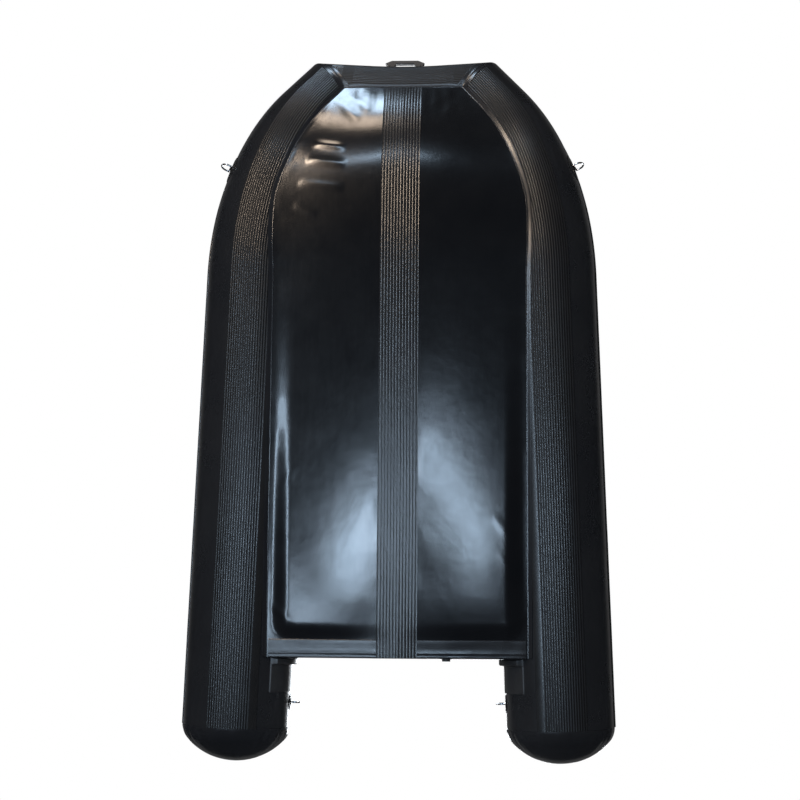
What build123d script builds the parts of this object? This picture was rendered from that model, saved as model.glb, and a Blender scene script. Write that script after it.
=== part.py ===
from build123d import *
from build123d.topology import SkipClean
from math import asin, atan2, cos, degrees, radians, sin, sqrt, tan
import os

# An inflatable dinghy: two side tubes that bend up and in to a short bow tube, a fabric V bottom,
# an air floor, a plywood transom, a bench seat and a pair of oars in swivel rowlocks.
# Millimetres. +X is port, -Y is the bow, +Z is up, and the boat sits on its keel and tubes at Z = 0.

# ---- driving dimensions ----
# Side tubes
tube_radius = 208.0
tube_half_spacing = 636.5      # centreline to a tube's axis, at the stern seam
toe_in = 1.65                  # degrees
straight_length = 1805.0       # stern seam to the start of the bend
bend_radius = 1043.0
bend_angle = 44.1              # degrees turned between the straight and the bow corner
bend_tilt = 50.7               # degrees the bend's plane rises from level
shoulder_length = 140.0        # straight length between the bend and the bow corner
# Bow tube
bow_stub_length = 140.0        # straight length at each end
bow_sag_angle = 3.4            # degrees each end is turned, which draws the middle aft
# Stern caps
cap_length = 136.0
cap_ledge = 3.0
cap_knuckle_radius = 80.0
# Guards and strakes on the tubes: angles are measured round the tube from straight down, outboard positive
guard_thickness = 3.5
guard_inboard_angle = -29.0
guard_outboard_angle = 25.0
rib_count = 20
rib_first_angle = -18.5        # the innermost groove
rib_pitch_angle = 2.12
rib_groove_share = 0.36        # of the pitch
rib_depth = 1.5
corner_tape_half_width = 26.0
corner_tape_thickness = 1.5
corner_tape_seam_gap = 3.0     # degrees between the tape's end and the bottom's seam
strake_angle = 91.0
strake_half_angle = 6.0
strake_thickness = 8.0
# Bottom
seam_inset = 133.5             # tube's axis at the stern seam to the bottom's seam, which runs parallel to the keel
seam_on_bend = [(0.0, 22.8), (0.35, 12.5), (0.7, 15.5), (1.0, 19.0)]   # share of the bend, degrees inboard
keel_rise_length = 900.0       # bow seam back to where the keel starts to rise
keel_rise_power = 3.0
bow_seam_angle = 14.0          # round the bow tube from straight down, forward positive
keel_guard_width = 150.0
keel_rib_count = 12
keel_rib_groove = 4.0
keel_edge_margin = 5.0
bottom_skin = 12.0             # the bottom's least height above its side seams
trim_overlap = 4.0             # how far guards and tapes reach into the bottom before they are trimmed to it
seam_tuck = 30.0               # how far the bottom's outline runs on into the tube before it is trimmed
transom_setback = 270.0        # stern seam forward to the transom's aft face
stern_tape_width = 68.0
stern_tape_thickness = 2.5
# Floor
floor_underside = 95.0
floor_thickness = 65.0
floor_length = 1900.0
floor_nose_radius = 260.0
# Transom
transom_thickness = 28.0
transom_height = 400.0
transom_shoulder_height = 330.0
transom_crown_width = 520.0
transom_corner_radius = 30.0
transom_edge_gap = 6.0         # transom's end to the tube
transom_foot = 6.0             # the bottom's fabric under the transom
holder_thickness = 24.0
holder_wall = 26.0
holder_base = 5.0
holder_tail = 106.0
motor_pad_width = 230.0
motor_pad_height = 150.0
motor_pad_thickness = 9.0
motor_pad_drop = 12.0          # its top below the board's
motor_pad_corner = 14.0
drain_radius = 16.0
drain_lip = 7.0
drain_flange = 5.0
drain_head = 9.0
drain_height = 76.0
drain_offset = 190.0
# Bench seat
bench_width = 230.0
bench_thickness = 22.0
bench_top = 335.0
bench_setback = 1365.0         # stern seam forward to the bench's middle
bench_end_gap = 7.0
bench_edge_radius = 6.0
bench_groove = 4.0
bench_groove_count = 8
seat_holder_length = 190.0
seat_holder_thickness = 5.0
seat_ledge = 48.0
seat_ledge_thickness = 12.0
seat_ledge_inset = 10.0        # the ledge's ends from the patch's
# Valves
valve_radius = 31.0
valve_height = 12.0
valve_cap_radius = 21.0
valve_notches = 8
valve_notch_radius = 3.5
valve_setback = 820.0
valve_angle = -142.0
bow_valve_offset = 90.0
bow_valve_angle = -140.0
floor_valve_setback = 220.0    # forward of the transom
floor_valve_offset = 280.0     # to starboard of the centreline
# Bow handle
handle_length = 188.0
handle_grip_length = 112.0
handle_reach = 42.0
handle_depth = 24.0
handle_base_thickness = 5.0
handle_base_share = 1.2        # base's half width, of the handle's depth
handle_wall = 8.0
handle_wing_drop = 13.0        # the outer leg's top below the grip's
handle_edge_radius = 3.0
handle_angle = 92.0            # round the bow tube from straight down, forward positive
# Rings
bow_patch_radius = 50.0
stern_patch_radius = 36.0
ring_patch_thickness = 4.0
ring_wire = 3.5
ring_width = 46.0
bow_ring_share = 0.5           # place along the bend
bow_ring_angle = 70.0
stern_ring_setback = 97.0
stern_ring_angle = -92.0
# Carry handles
carry_setbacks = [420.0, 1700.0]
carry_angle = 138.0
carry_length = 170.0
carry_reach = 38.0
carry_width = 30.0
carry_wall = 8.0
carry_patch_thickness = 4.0
carry_foot_inset = 10.0
carry_foot_slope = 30.0
carry_foot_width = 18.0
carry_corner_radius = 20.0
# Rowlocks and oars
rowlock_setback = 1085.0
rowlock_angle = 180.0
rowlock_base_radius = 42.0
rowlock_base_height = 8.0
foot_depth = 15.0              # how far a round foot starts below the tube before it is trimmed to it
rowlock_block_height = 34.0
rowlock_block_radius = 24.0
pin_radius = 6.0
pin_head_gap = 4.0
pin_head_height = 6.0
pin_clearance = 0.05
oar_standoff = 62.0            # tube surface to the oar's axis
oar_length = 1380.0
oar_inboard = 400.0            # grip end to the rowlock pin
shaft_radius = 15.0
collar_radius = 24.0
collar_length = 60.0
grip_radius = 18.0
grip_length = 130.0
grip_end_radius = 8.0
grip_ring_count = 7
grip_ring_width = 3.0
blade_length = 440.0
blade_width = 150.0
blade_thickness = 9.0
blade_neck_width = 44.0
blade_taper = 150.0            # neck back to the blade's full width
blade_tip_taper = 8.0
blade_corner_radius = 20.0
blade_socket = 70.0
blade_socket_wall = 4.0
blade_spine_radius = 11.0
rest_offset = 200.0            # rowlock pin forward to the oar's rest
rest_gap = 5.0
rest_width = 30.0
rest_base_share = 0.8          # of the rowlock's base
rest_base_height = 6.0
rest_saddle_width = 44.0
rest_cheek_thickness = 10.0
rest_cheek_rise = 8.0          # above the shaft's middle

# ---- the tube's path ----
toe = radians(toe_in)
tilt = radians(bend_tilt)
axis_height = tube_radius + guard_thickness
guard_radius = tube_radius + guard_thickness
panel_half_width = tube_half_spacing - seam_inset
heading = Vector(-sin(toe), -cos(toe), 0)
outboard = Vector(cos(toe), -sin(toe), 0)
up = Vector(0, 0, 1)
bend_toward = outboard * -cos(tilt) + up * sin(tilt)
bend_normal = heading.cross(bend_toward)


def turned(vector, degrees_along):
    """A direction at the bend's start, carried along the bend."""
    return vector.rotate(Axis((0, 0, 0), bend_normal), degrees_along)


def travel_from(start, share_of_bend=1.0):
    """The tube axis at a share of the bend, starting from the stern seam."""
    angle = radians(bend_angle * share_of_bend)
    bend_start = start + heading * straight_length
    return bend_start + heading * (bend_radius * sin(angle)) + bend_toward * (bend_radius * (1 - cos(angle)))


end_heading = turned(heading, bend_angle)
reach = travel_from(Vector(0, 0, 0)) + end_heading * shoulder_length
sag = radians(bow_sag_angle)
corner_half_spacing = tube_half_spacing + reach.X
bow_curve_radius = (corner_half_spacing - bow_stub_length * cos(sag)) / sin(sag)
bow_sagitta = bow_stub_length * sin(sag) + bow_curve_radius * (1 - cos(sag))
bow_front = reach.Y + bow_sagitta - tube_radius - handle_reach
stern_y = (cap_length + bow_front) / -2       # puts the boat's middle at Y = 0

start = Vector(tube_half_spacing, stern_y, axis_height)
bend_start = start + heading * straight_length
bend_axis = Axis((bend_start + bend_toward * bend_radius), bend_normal)
corner = start + reach
bow_middle = Vector(0, corner.Y + bow_sagitta, corner.Z)
bow_axis = Axis((0, bow_middle.Y - bow_curve_radius, 0), (0, 0, 1))
bow_leave = Vector(-cos(sag), sin(sag), 0)
mitre = Plane(origin=corner, z_dir=end_heading + bow_leave)
overrun = tube_radius * 1.2


def in_bow_frame(side_angle):
    """The angle round the bow tube where a line on the side tube arrives after the mitre."""
    direction = turned(section_direction(side_angle), bend_angle)
    mirrored = direction - mitre.z_dir * (2 * direction.dot(mitre.z_dir))
    forward = Vector(-sin(sag), -cos(sag), 0)
    return degrees(atan2(mirrored.dot(forward), -mirrored.Z))


def section_direction(angle):
    """A direction round the straight tube, from straight down towards outboard."""
    turn = radians(angle)
    return outboard * sin(turn) - up * cos(turn)


def section_plane(setback):
    """A plane across the straight tube: X outboard, Y up, Z forward."""
    return Plane(origin=start + heading * setback, x_dir=outboard, z_dir=heading)


def arc(radius, angle_from, angle_to):
    """Part of a circle round the tube, its angles measured from straight down towards +X."""
    return CenterArc((0, 0), radius, angle_from - 90, angle_to - angle_from)


def band(inner, outer, angle_from, angle_to):
    """A ring sector."""
    edges = [arc(outer, angle_from, angle_to), arc(inner, angle_from, angle_to)]
    sides = [Line(edges[0] @ 0, edges[1] @ 0), Line(edges[0] @ 1, edges[1] @ 1)]
    return make_face(edges + sides)


def along_side(profile):
    """Carries a profile up the port tube from the stern seam to the bow mitre."""
    at_bend = section_plane(straight_length) * profile
    at_corner = at_bend.rotate(bend_axis, bend_angle)
    straight = extrude(section_plane(0) * profile, straight_length, clean=False)
    bend = revolve(at_bend, bend_axis, bend_angle, clean=False)
    shoulder = extrude(at_corner, shoulder_length + overrun, dir=end_heading, clean=False)
    shoulder = split(shoulder, mitre, keep=Keep.BOTTOM)
    with SkipClean():
        return straight + bend + shoulder


def along_bow(profile):
    """Carries a profile, with X forward and Y up, across the bow tube from mitre to mitre."""
    middle = Plane(origin=bow_middle, x_dir=(0, -1, 0), z_dir=(-1, 0, 0)) * profile
    curve = revolve(middle.rotate(bow_axis, -bow_sag_angle), bow_axis, 2 * bow_sag_angle, clean=False)
    leave = Vector(-cos(sag), -sin(sag), 0)
    stub = extrude(middle.rotate(bow_axis, bow_sag_angle), bow_stub_length + overrun, dir=leave, clean=False)
    stub = split(stub, mirrored_plane(mitre), keep=Keep.TOP)
    with SkipClean():
        return curve + stub + mirror(stub, about=Plane.YZ)


def mirrored_plane(plane):
    """A plane reflected to the other side of the boat."""
    origin = Vector(-plane.origin.X, plane.origin.Y, plane.origin.Z)
    return Plane(origin=origin, z_dir=Vector(-plane.z_dir.X, plane.z_dir.Y, plane.z_dir.Z))


def to_starboard(shape):
    """The starboard twin of a port piece."""
    return mirror(shape, about=Plane.YZ)


# ---- tubes, caps, guards and strakes ----
def side_tube():
    return along_side(Circle(tube_radius))


def bow_tube():
    return along_bow(Circle(tube_radius))


def stern_cap():
    """A flattened dome on the tube's stern seam: a knuckle arc that runs into a crown arc."""
    rim = tube_radius + cap_ledge
    knuckle_x = rim - cap_knuckle_radius
    spare = cap_length - cap_knuckle_radius
    crown_radius = (knuckle_x ** 2 + cap_length ** 2 - cap_knuckle_radius ** 2) / (2 * spare)
    lean = degrees(atan2(crown_radius - cap_length, knuckle_x))
    knuckle = CenterArc((knuckle_x, 0), cap_knuckle_radius, 0, lean)
    crown = CenterArc((0, cap_length - crown_radius), crown_radius, lean, 90 - lean)
    dome = make_face([Line((0, 0), (rim, 0)), knuckle, crown, Line((0, cap_length), (0, 0))])
    aft = heading * -1
    return revolve(Plane(origin=start, x_dir=outboard, z_dir=outboard.cross(aft)) * dome, Axis(start, aft))


def guard_profile(turn=0.0):
    """The plain guard's section, turned round the tube."""
    return band(tube_radius, guard_radius, guard_inboard_angle + turn, guard_outboard_angle + turn)


def ribbed_guard_profile(turn=0.0):
    """The guard's section with the grooves between its ribs, its inner side divided at every groove."""
    low = guard_inboard_angle + turn
    high = guard_outboard_angle + turn
    half = rib_pitch_angle * rib_groove_share / 2
    middles = [rib_first_angle + groove * rib_pitch_angle + turn for groove in range(rib_count + 1)]
    outer = [arc(guard_radius, low, middles[0] - half)]
    for middle, next_middle in zip(middles, middles[1:] + [high + half]):
        outer.append(arc(guard_radius - rib_depth, middle - half, middle + half))
        outer.append(arc(guard_radius, middle + half, next_middle - half))
    inner = [arc(tube_radius, here, there) for here, there in zip([low] + middles, middles + [high])]
    walls = [Line(here @ 1, there @ 0) for here, there in zip(outer, outer[1:])]
    ends = [Line(inner[0] @ 0, outer[0] @ 0), Line(inner[-1] @ 1, outer[-1] @ 1)]
    return make_face(outer + inner + walls + ends)


def corner_tape():
    """The tape over the guards' joint at the bow corner, half of it on each tube."""
    low = -seam_angle(1.0) + corner_tape_seam_gap
    turn = in_bow_frame(0.0)
    strips = [
        along_side(band(guard_radius, guard_radius + corner_tape_thickness, low, guard_outboard_angle)),
        along_bow(band(guard_radius, guard_radius + corner_tape_thickness, low + turn, guard_outboard_angle + turn)),
    ]
    reach_x = 2 * tube_radius
    slab = mitre * Box(2 * reach_x, 2 * reach_x, 2 * corner_tape_half_width)
    halves = [strip & slab for strip in strips]
    return halves[0] + halves[1]


def side_strake():
    low = strake_angle - strake_half_angle
    return along_side(band(tube_radius, tube_radius + strake_thickness, low, low + 2 * strake_half_angle))


def bow_strake():
    low = in_bow_frame(strake_angle - strake_half_angle)
    return along_bow(band(tube_radius, tube_radius + strake_thickness, low, low + 2 * strake_half_angle))


# ---- bottom ----
def seam_angle(share):
    """How far inboard of straight down the bottom's seam lies, at a share of the bend."""
    for (low, low_angle), (high, high_angle) in zip(seam_on_bend, seam_on_bend[1:]):
        if share <= high:
            return low_angle + (high_angle - low_angle) * (share - low) / (high - low)
    return seam_on_bend[-1][1]


def station(setback):
    """The boat's Y at a distance forward of the stern seam, measured along the centreline."""
    return stern_y - setback


def seam_on_straight(setback):
    """The seam's point on the straight, where the bottom has its full width."""
    axis_x = tube_half_spacing - setback * tan(toe)
    angle = asin((axis_x - panel_half_width) * cos(toe) / guard_radius)
    return Vector(panel_half_width, station(setback), axis_height - guard_radius * cos(angle))


def seam_past_bend(share, beyond=0.0):
    """The seam's point on the bend, or beyond its end on the shoulder."""
    direction = turned(section_direction(-seam_angle(share)), bend_angle * share)
    return travel_from(start, share) + end_heading * beyond + direction * guard_radius


def bow_seam():
    """The point on the centreline where the bottom meets the bow tube."""
    angle = radians(bow_seam_angle)
    return bow_middle + Vector(0, -guard_radius * sin(angle), -guard_radius * cos(angle))


def keel_height(y):
    """Height of the keel's fabric above the ground, rising to the bow seam."""
    seam = bow_seam()
    share = max(0.0, 1 - (y - seam.Y) / keel_rise_length)
    return guard_thickness + (seam.Z - guard_thickness) * share ** keel_rise_power


def straight_seam_points():
    """Points down the port seam from the transom to the bend."""
    length = straight_length - transom_setback
    return [seam_on_straight(transom_setback + length * share) for share in (0.0, 0.33, 0.67, 1.0)]


def bow_seam_points():
    """Points down the port seam from the bend to inside the bow tube."""
    points = [seam_on_straight(straight_length)]
    points += [seam_past_bend(share) for share in (0.1, 0.2, 0.35, 0.5, 0.65, 0.8, 1.0)]
    points.append(seam_past_bend(1.0, shoulder_length * 0.75))
    return points


def bottom_section(seam):
    """The bottom's outline across the boat at a seam point: a shallow V with a level top."""
    keel = keel_height(seam.Y)
    top = max(floor_underside, seam.Z + bottom_skin)
    inside = seam.X + seam_tuck
    half = [(0, keel), (seam.X, seam.Z), (inside, seam.Z + bottom_skin / 2), (inside, top)]
    outline = half + [(-x, z) for x, z in reversed(half[1:])]
    plane = Plane(origin=(0, seam.Y, 0), x_dir=(1, 0, 0), z_dir=(0, -1, 0))
    return plane * make_face(Polyline(*outline, close=True))


def trimmed(shape, *cutters):
    """A shape with the port and starboard copies of some port pieces taken away."""
    for cutter in cutters:
        shape = shape - cutter - to_starboard(cutter)
    return shape


def raw_bottom(section):
    """The bottom's length as one straight and one curved loft of a section."""
    straight = loft([section(seam) for seam in straight_seam_points()], ruled=True)
    bow = loft([section(seam) for seam in bow_seam_points()])
    return straight + bow


def hull_bottom():
    return raw_bottom(bottom_section)


def keel_guard_section(seam):
    """The ribbed keel guard's outline across the boat, overlapping the bottom so that it can be trimmed to it."""
    keel = keel_height(seam.Y)
    edge = keel_guard_width / 2
    slope = (seam.Z - keel) / seam.X
    pitch = (keel_guard_width - 2 * keel_edge_margin) / keel_rib_count
    steps = [(-keel_rib_groove / 2, 0), (-keel_rib_groove / 4, rib_depth),
             (keel_rib_groove / 4, rib_depth), (keel_rib_groove / 2, 0)]
    underside = [(-edge, 0)]
    for groove in range(keel_rib_count + 1):
        middle = keel_edge_margin - edge + groove * pitch
        underside += [(middle + across, deep) for across, deep in steps]
    underside.append((edge, 0))
    outline = [(x, keel - guard_thickness + abs(x) * slope + deep) for x, deep in underside]
    top = keel + edge * slope + trim_overlap
    outline += [(edge, top), (-edge, top)]
    plane = Plane(origin=(0, seam.Y, 0), x_dir=(1, 0, 0), z_dir=(0, -1, 0))
    return plane * make_face(Polyline(*outline, close=True))


def stern_tape():
    """A strip across the bottom's aft edge, overlapping the bottom so that it can be trimmed to it."""
    sections = []
    for setback in (transom_setback, transom_setback + stern_tape_width):
        seam = seam_on_straight(setback)
        keel = keel_height(seam.Y)
        slope = (seam.Z - keel) / seam.X
        reach_x = seam.X + seam_tuck
        low = [(0, keel - stern_tape_thickness), (reach_x, keel + slope * reach_x - stern_tape_thickness)]
        high = [(reach_x, keel + slope * reach_x + trim_overlap), (0, keel + trim_overlap)]
        outline = low + high + [(-x, z) for x, z in [high[0], low[1]]]
        plane = Plane(origin=(0, seam.Y, 0), x_dir=(1, 0, 0), z_dir=(0, -1, 0))
        sections.append(plane * make_face(Polyline(*outline, close=True)))
    return loft(sections, ruled=True)


# ---- floor, transom and seat ----
def block(x_range, y_range, z_range):
    """A box from its low and high corners."""
    size = [high - low for low, high in (x_range, y_range, z_range)]
    middle = [(high + low) / 2 for low, high in (x_range, y_range, z_range)]
    return Pos(*middle) * Box(*size)


def floor_panel():
    """The air floor before the tubes and holders are taken away from it."""
    aft = station(transom_setback + transom_thickness)
    outline = Rectangle(2 * (panel_half_width + seam_tuck), floor_length)
    nose = outline.vertices().sort_by(Axis.Y)[:2]
    outline = fillet(nose, floor_nose_radius)
    return Pos(0, aft - floor_length / 2, floor_underside) * extrude(outline, floor_thickness)


def transom_board():
    """The transom's board: a V foot, square shoulders and a raised middle for a motor."""
    y = station(transom_setback)
    seam = seam_on_straight(transom_setback)
    keel = keel_height(y)
    width = tube_half_spacing
    side_foot = keel + (seam.Z - keel) * width / seam.X + transom_foot
    crown = transom_crown_width / 2
    slope = transom_height - transom_shoulder_height
    half = [
        (width, side_foot),
        (width, transom_shoulder_height),
        (crown + slope, transom_shoulder_height),
        (crown, transom_height),
    ]
    outline = [(0, keel + transom_foot)] + half + [(-x, z) for x, z in reversed(half)]
    face = make_face(Polyline(*outline, close=True))
    corners = [vertex for vertex in face.vertices().sort_by(Axis.Y)[-6:] if abs(vertex.X) < width]
    face = fillet(corners, transom_corner_radius)
    plane = Plane(origin=(0, y, 0), x_dir=(1, 0, 0), z_dir=(0, -1, 0))
    return plane * extrude(face, transom_thickness)


def tube_sleeve(gap):
    """The straight tube swollen by a gap, which trims what stands between the tubes."""
    return extrude(section_plane(0) * Circle(tube_radius + gap), straight_length)


def transom_holder():
    """A rubber channel glued to the tube: a base with a tail, and two walls that grip the board."""
    aft_wall = transom_setback - holder_wall
    base = band(tube_radius, tube_radius + holder_base, -125, -40)
    base = extrude(section_plane(aft_wall - holder_tail) * base, holder_tail + 2 * holder_wall + transom_thickness)
    walls = band(tube_radius, tube_radius + holder_thickness, -118, -42)
    walls = extrude(section_plane(aft_wall) * walls, 2 * holder_wall + transom_thickness)
    return base + walls


def motor_pad(y_aft):
    """A plate that a motor's clamps bear on, with its aft face at a given Y."""
    half = motor_pad_width / 2
    top = transom_height - motor_pad_drop
    plate = block((-half, half), (y_aft - motor_pad_thickness, y_aft), (top - motor_pad_height, top))
    return fillet(plate.edges().filter_by(Axis.Y), motor_pad_corner)


def drain_plug():
    """A flanged plug on the transom's aft face."""
    face = Plane(origin=(drain_offset, station(transom_setback), drain_height), z_dir=(0, 1, 0))
    flange = extrude(Circle(drain_radius + drain_lip), drain_flange)
    return face * (flange + Pos(0, 0, drain_flange) * extrude(Circle(drain_radius), drain_head))


def bench():
    """The seat's board, cut off short of the tubes."""
    y = station(bench_setback)
    half = bench_width / 2
    reach_x = tube_half_spacing
    plank = block((-reach_x, reach_x), (y - half, y + half), (bench_top - bench_thickness, bench_top))
    plank = fillet(plank.edges().filter_by(Axis.X), bench_edge_radius)
    pitch = bench_width / (bench_groove_count + 1)
    for groove in range(bench_groove_count):
        middle = y - half + (groove + 1) * pitch
        plank -= block((-reach_x, reach_x), (middle - bench_groove / 2, middle + bench_groove / 2),
                       (bench_top - bench_groove / 2, bench_top))
    sleeve = tube_sleeve(bench_end_gap)
    return plank - sleeve - to_starboard(sleeve)


def seat_holder():
    """A rubber patch on the tube with a ledge that carries the bench's end."""
    behind = bench_setback - seat_holder_length / 2
    patch = band(tube_radius, tube_radius + seat_holder_thickness, -140, -102)
    patch = extrude(section_plane(behind) * patch, seat_holder_length)
    y = station(bench_setback)
    half = seat_holder_length / 2 - seat_ledge_inset
    ledge_top = bench_top - bench_thickness
    axis_x = (start + heading * bench_setback).X
    inner = axis_x - sqrt(tube_radius ** 2 - (ledge_top - axis_height) ** 2)
    ledge = block((inner - seat_ledge, axis_x), (y - half, y + half), (ledge_top - seat_ledge_thickness, ledge_top))
    return patch + (ledge - tube_sleeve(0))


# ---- fittings on the tubes ----
def on_side(setback, angle):
    """A plane on the straight tube's surface: Z outward, X forward."""
    direction = section_direction(angle)
    point = start + heading * setback + direction * tube_radius
    return Plane(origin=point, x_dir=heading, z_dir=direction)


def on_bend(share, angle):
    """A plane on the bend's surface: Z outward, X forward."""
    direction = turned(section_direction(angle), bend_angle * share)
    point = travel_from(start, share) + direction * tube_radius
    return Plane(origin=point, x_dir=turned(heading, bend_angle * share), z_dir=direction)


def on_bow(offset, angle):
    """A plane on the bow tube's surface: Z outward, X to port."""
    turn = radians(angle)
    direction = Vector(0, -sin(turn), -cos(turn))
    turn_axis = Axis((0, 0, 0), (0, 0, 1))
    around = degrees(-offset / bow_curve_radius)
    x_dir = Vector(1, 0, 0).rotate(turn_axis, around)
    z_dir = direction.rotate(turn_axis, around)
    centre = Vector(0, bow_axis.position.Y, bow_middle.Z)
    axis_point = centre + (bow_middle - centre).rotate(turn_axis, around)
    return Plane(origin=axis_point + z_dir * tube_radius, x_dir=x_dir, z_dir=z_dir)


def air_valve():
    """A valve's collar and cap, with a foot that is trimmed to the tube."""
    collar = Pos(0, 0, -foot_depth) * extrude(Circle(valve_radius), foot_depth + valve_height / 2)
    notches = PolarLocations(valve_cap_radius, valve_notches) * Circle(valve_notch_radius)
    cap = extrude(Circle(valve_cap_radius) - notches, valve_height / 2)
    return collar + Pos(0, 0, valve_height / 2) * cap


def bow_handle():
    """A moulded grip on two legs, each leg pierced by a small window, on a curved base plate."""
    swing = degrees(handle_length / 2 / bow_curve_radius)
    half_angle = degrees(handle_depth * handle_base_share / tube_radius)
    base_top = tube_radius + handle_base_thickness
    profile = band(tube_radius, base_top, handle_angle - half_angle, handle_angle + half_angle)
    middle = Plane(origin=bow_middle, x_dir=(0, -1, 0), z_dir=(-1, 0, 0)) * profile
    base = revolve(middle.rotate(bow_axis, -swing), bow_axis, 2 * swing)
    turn = radians(handle_angle)
    outward = Vector(0, -sin(turn), -cos(turn))
    face = Plane(origin=bow_middle + outward * tube_radius, x_dir=(1, 0, 0), z_dir=Vector(1, 0, 0).cross(outward))
    grip = handle_grip_length / 2
    wall = handle_wall
    foot = handle_length / 2 - wall
    wing = handle_reach - handle_wing_drop
    grip_underside = handle_reach - 2 * wall
    outline = [(-foot, 2), (-foot + wall, wing - wall), (-foot, wing), (-grip, handle_reach)]
    outline += [(-x, y) for x, y in reversed(outline)]
    body = make_face(Polyline(*outline, close=True))
    opening = [(-grip + wall / 2, wall), (-grip + 2 * wall, grip_underside)]
    opening += [(-x, y) for x, y in reversed(opening)]
    window = [(-foot + 1.6 * wall, wall), (-foot + 2.1 * wall, wing - wall), (-grip - wall / 2, wall)]
    window = make_face(Polyline(*window, close=True))
    body = body - make_face(Polyline(*opening, close=True)) - window - mirror(window, about=Plane.YZ)
    handle = extrude(body, handle_depth / 2, both=True)
    grip_edges = [e for e in handle.edges().filter_by(Axis.X) if e.center().Y > handle_reach / 2]
    handle = fillet(grip_edges, handle_edge_radius)
    return (face * handle - bow_tube()) + base


def patch_band_profile(angle, radius):
    """A section wide enough round the tube for a patch to be punched from."""
    half = degrees(1.3 * radius / tube_radius)
    return band(tube_radius, tube_radius + ring_patch_thickness, angle - half, angle + half)


def ring_patch(plane, radius, side_band):
    """A round patch that follows the tube."""
    punch = plane * (Pos(0, 0, -30) * extrude(Circle(radius), 60))
    return side_band & punch


def d_ring(plane, width):
    """A D of wire standing on its patch, its plane across the tube."""
    reach_out = width * 0.8
    inner = width / 2
    path = Wire([
        Line((-inner, 0), (-inner, reach_out - inner)),
        CenterArc((0, reach_out - inner), inner, 180, -180),
        Line((inner, reach_out - inner), (inner, 0)),
        Line((inner, 0), (-inner, 0)),
    ])
    loop = sweep(Plane(origin=path @ 0, z_dir=path % 0) * Circle(ring_wire), path=path, transition=Transition.ROUND)
    upright = Plane(origin=plane.origin + plane.z_dir * (ring_patch_thickness + ring_wire), x_dir=plane.y_dir,
                    z_dir=plane.y_dir.cross(plane.z_dir))
    return upright * loop


def carry_handle(setback):
    """A webbing-style grab handle on a patch."""
    half_angle = degrees(carry_width / tube_radius)
    patch = band(tube_radius, tube_radius + carry_patch_thickness, carry_angle - half_angle, carry_angle + half_angle)
    patch = extrude(section_plane(setback - carry_length / 2) * patch, carry_length)
    plane = on_side(setback, carry_angle)
    face = Plane(origin=plane.origin, x_dir=plane.x_dir, z_dir=plane.x_dir.cross(plane.z_dir))
    foot = carry_length / 2 - carry_foot_inset
    grip = foot - carry_foot_slope
    outline = make_face(Polyline((-foot, 1), (-grip, carry_reach), (grip, carry_reach), (foot, 1), close=True))
    outline = fillet(outline.vertices().group_by(Axis.Y)[-1], carry_corner_radius)
    leg = foot - carry_foot_width
    inner_grip = grip - carry_wall + 2
    clear = carry_wall - 1
    opening = Polyline((-leg, clear), (-inner_grip, carry_reach - carry_wall), (inner_grip, carry_reach - carry_wall),
                       (leg, clear), close=True)
    opening = make_face(opening)
    opening = fillet(opening.vertices().group_by(Axis.Y)[-1], carry_corner_radius - carry_wall)
    arch = face * extrude(outline - opening, carry_width / 2, both=True)
    return patch + (arch - tube_sleeve(0))


# ---- rowlocks and oars ----
def rowlock_plane():
    return on_side(rowlock_setback, rowlock_angle)


def rowlock():
    """A base on the tube, a block and the pin that the oar swivels on."""
    base = Pos(0, 0, -foot_depth) * extrude(Circle(rowlock_base_radius), foot_depth + rowlock_base_height)
    body = extrude(Circle(rowlock_block_radius), rowlock_block_height)
    collar_top = oar_standoff + collar_radius
    pin = extrude(Circle(pin_radius), collar_top + pin_head_gap)
    head = Pos(0, 0, collar_top + pin_head_gap) * extrude(Circle(pin_radius + pin_head_gap), pin_head_height)
    return rowlock_plane() * (base + body + pin + head) - tube_sleeve(0)


def along_oar(low, high, radius):
    """A round bar on the oar's axis, its ends measured forward of the rowlock pin."""
    bar = Plane.YZ * Circle(radius)
    return Pos(low, 0, oar_standoff) * extrude(bar, high - low)


def pin_bore():
    return extrude(Circle(pin_radius + pin_clearance), 2 * oar_standoff)


def shaft_end():
    """Where the shaft ends in the blade's socket, forward of the rowlock pin."""
    return oar_inboard - oar_length + blade_length - blade_socket * 0.85


def grip_plug():
    """Where the shaft ends in the grip."""
    return oar_inboard - grip_end_radius * 1.5


def oar_shaft():
    return along_oar(shaft_end(), grip_plug(), shaft_radius) - pin_bore()


def oar_collar():
    half = collar_length / 2
    sleeve = along_oar(-half, half, collar_radius) - along_oar(-half, half, shaft_radius)
    return sleeve - pin_bore()


def oar_grip():
    grip = along_oar(oar_inboard - grip_length, oar_inboard, grip_radius)
    grip = fillet(grip.edges().sort_by(Axis.X)[-1], grip_end_radius)
    pitch = grip_length / (grip_ring_count + 1)
    for ring in range(grip_ring_count):
        low = oar_inboard - grip_length + (ring + 1) * pitch
        outer = along_oar(low, low + grip_ring_width, grip_radius + 1)
        grip -= outer - along_oar(low, low + grip_ring_width, grip_radius - 1)
    return grip - along_oar(oar_inboard - grip_length, grip_plug(), shaft_radius)


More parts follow.
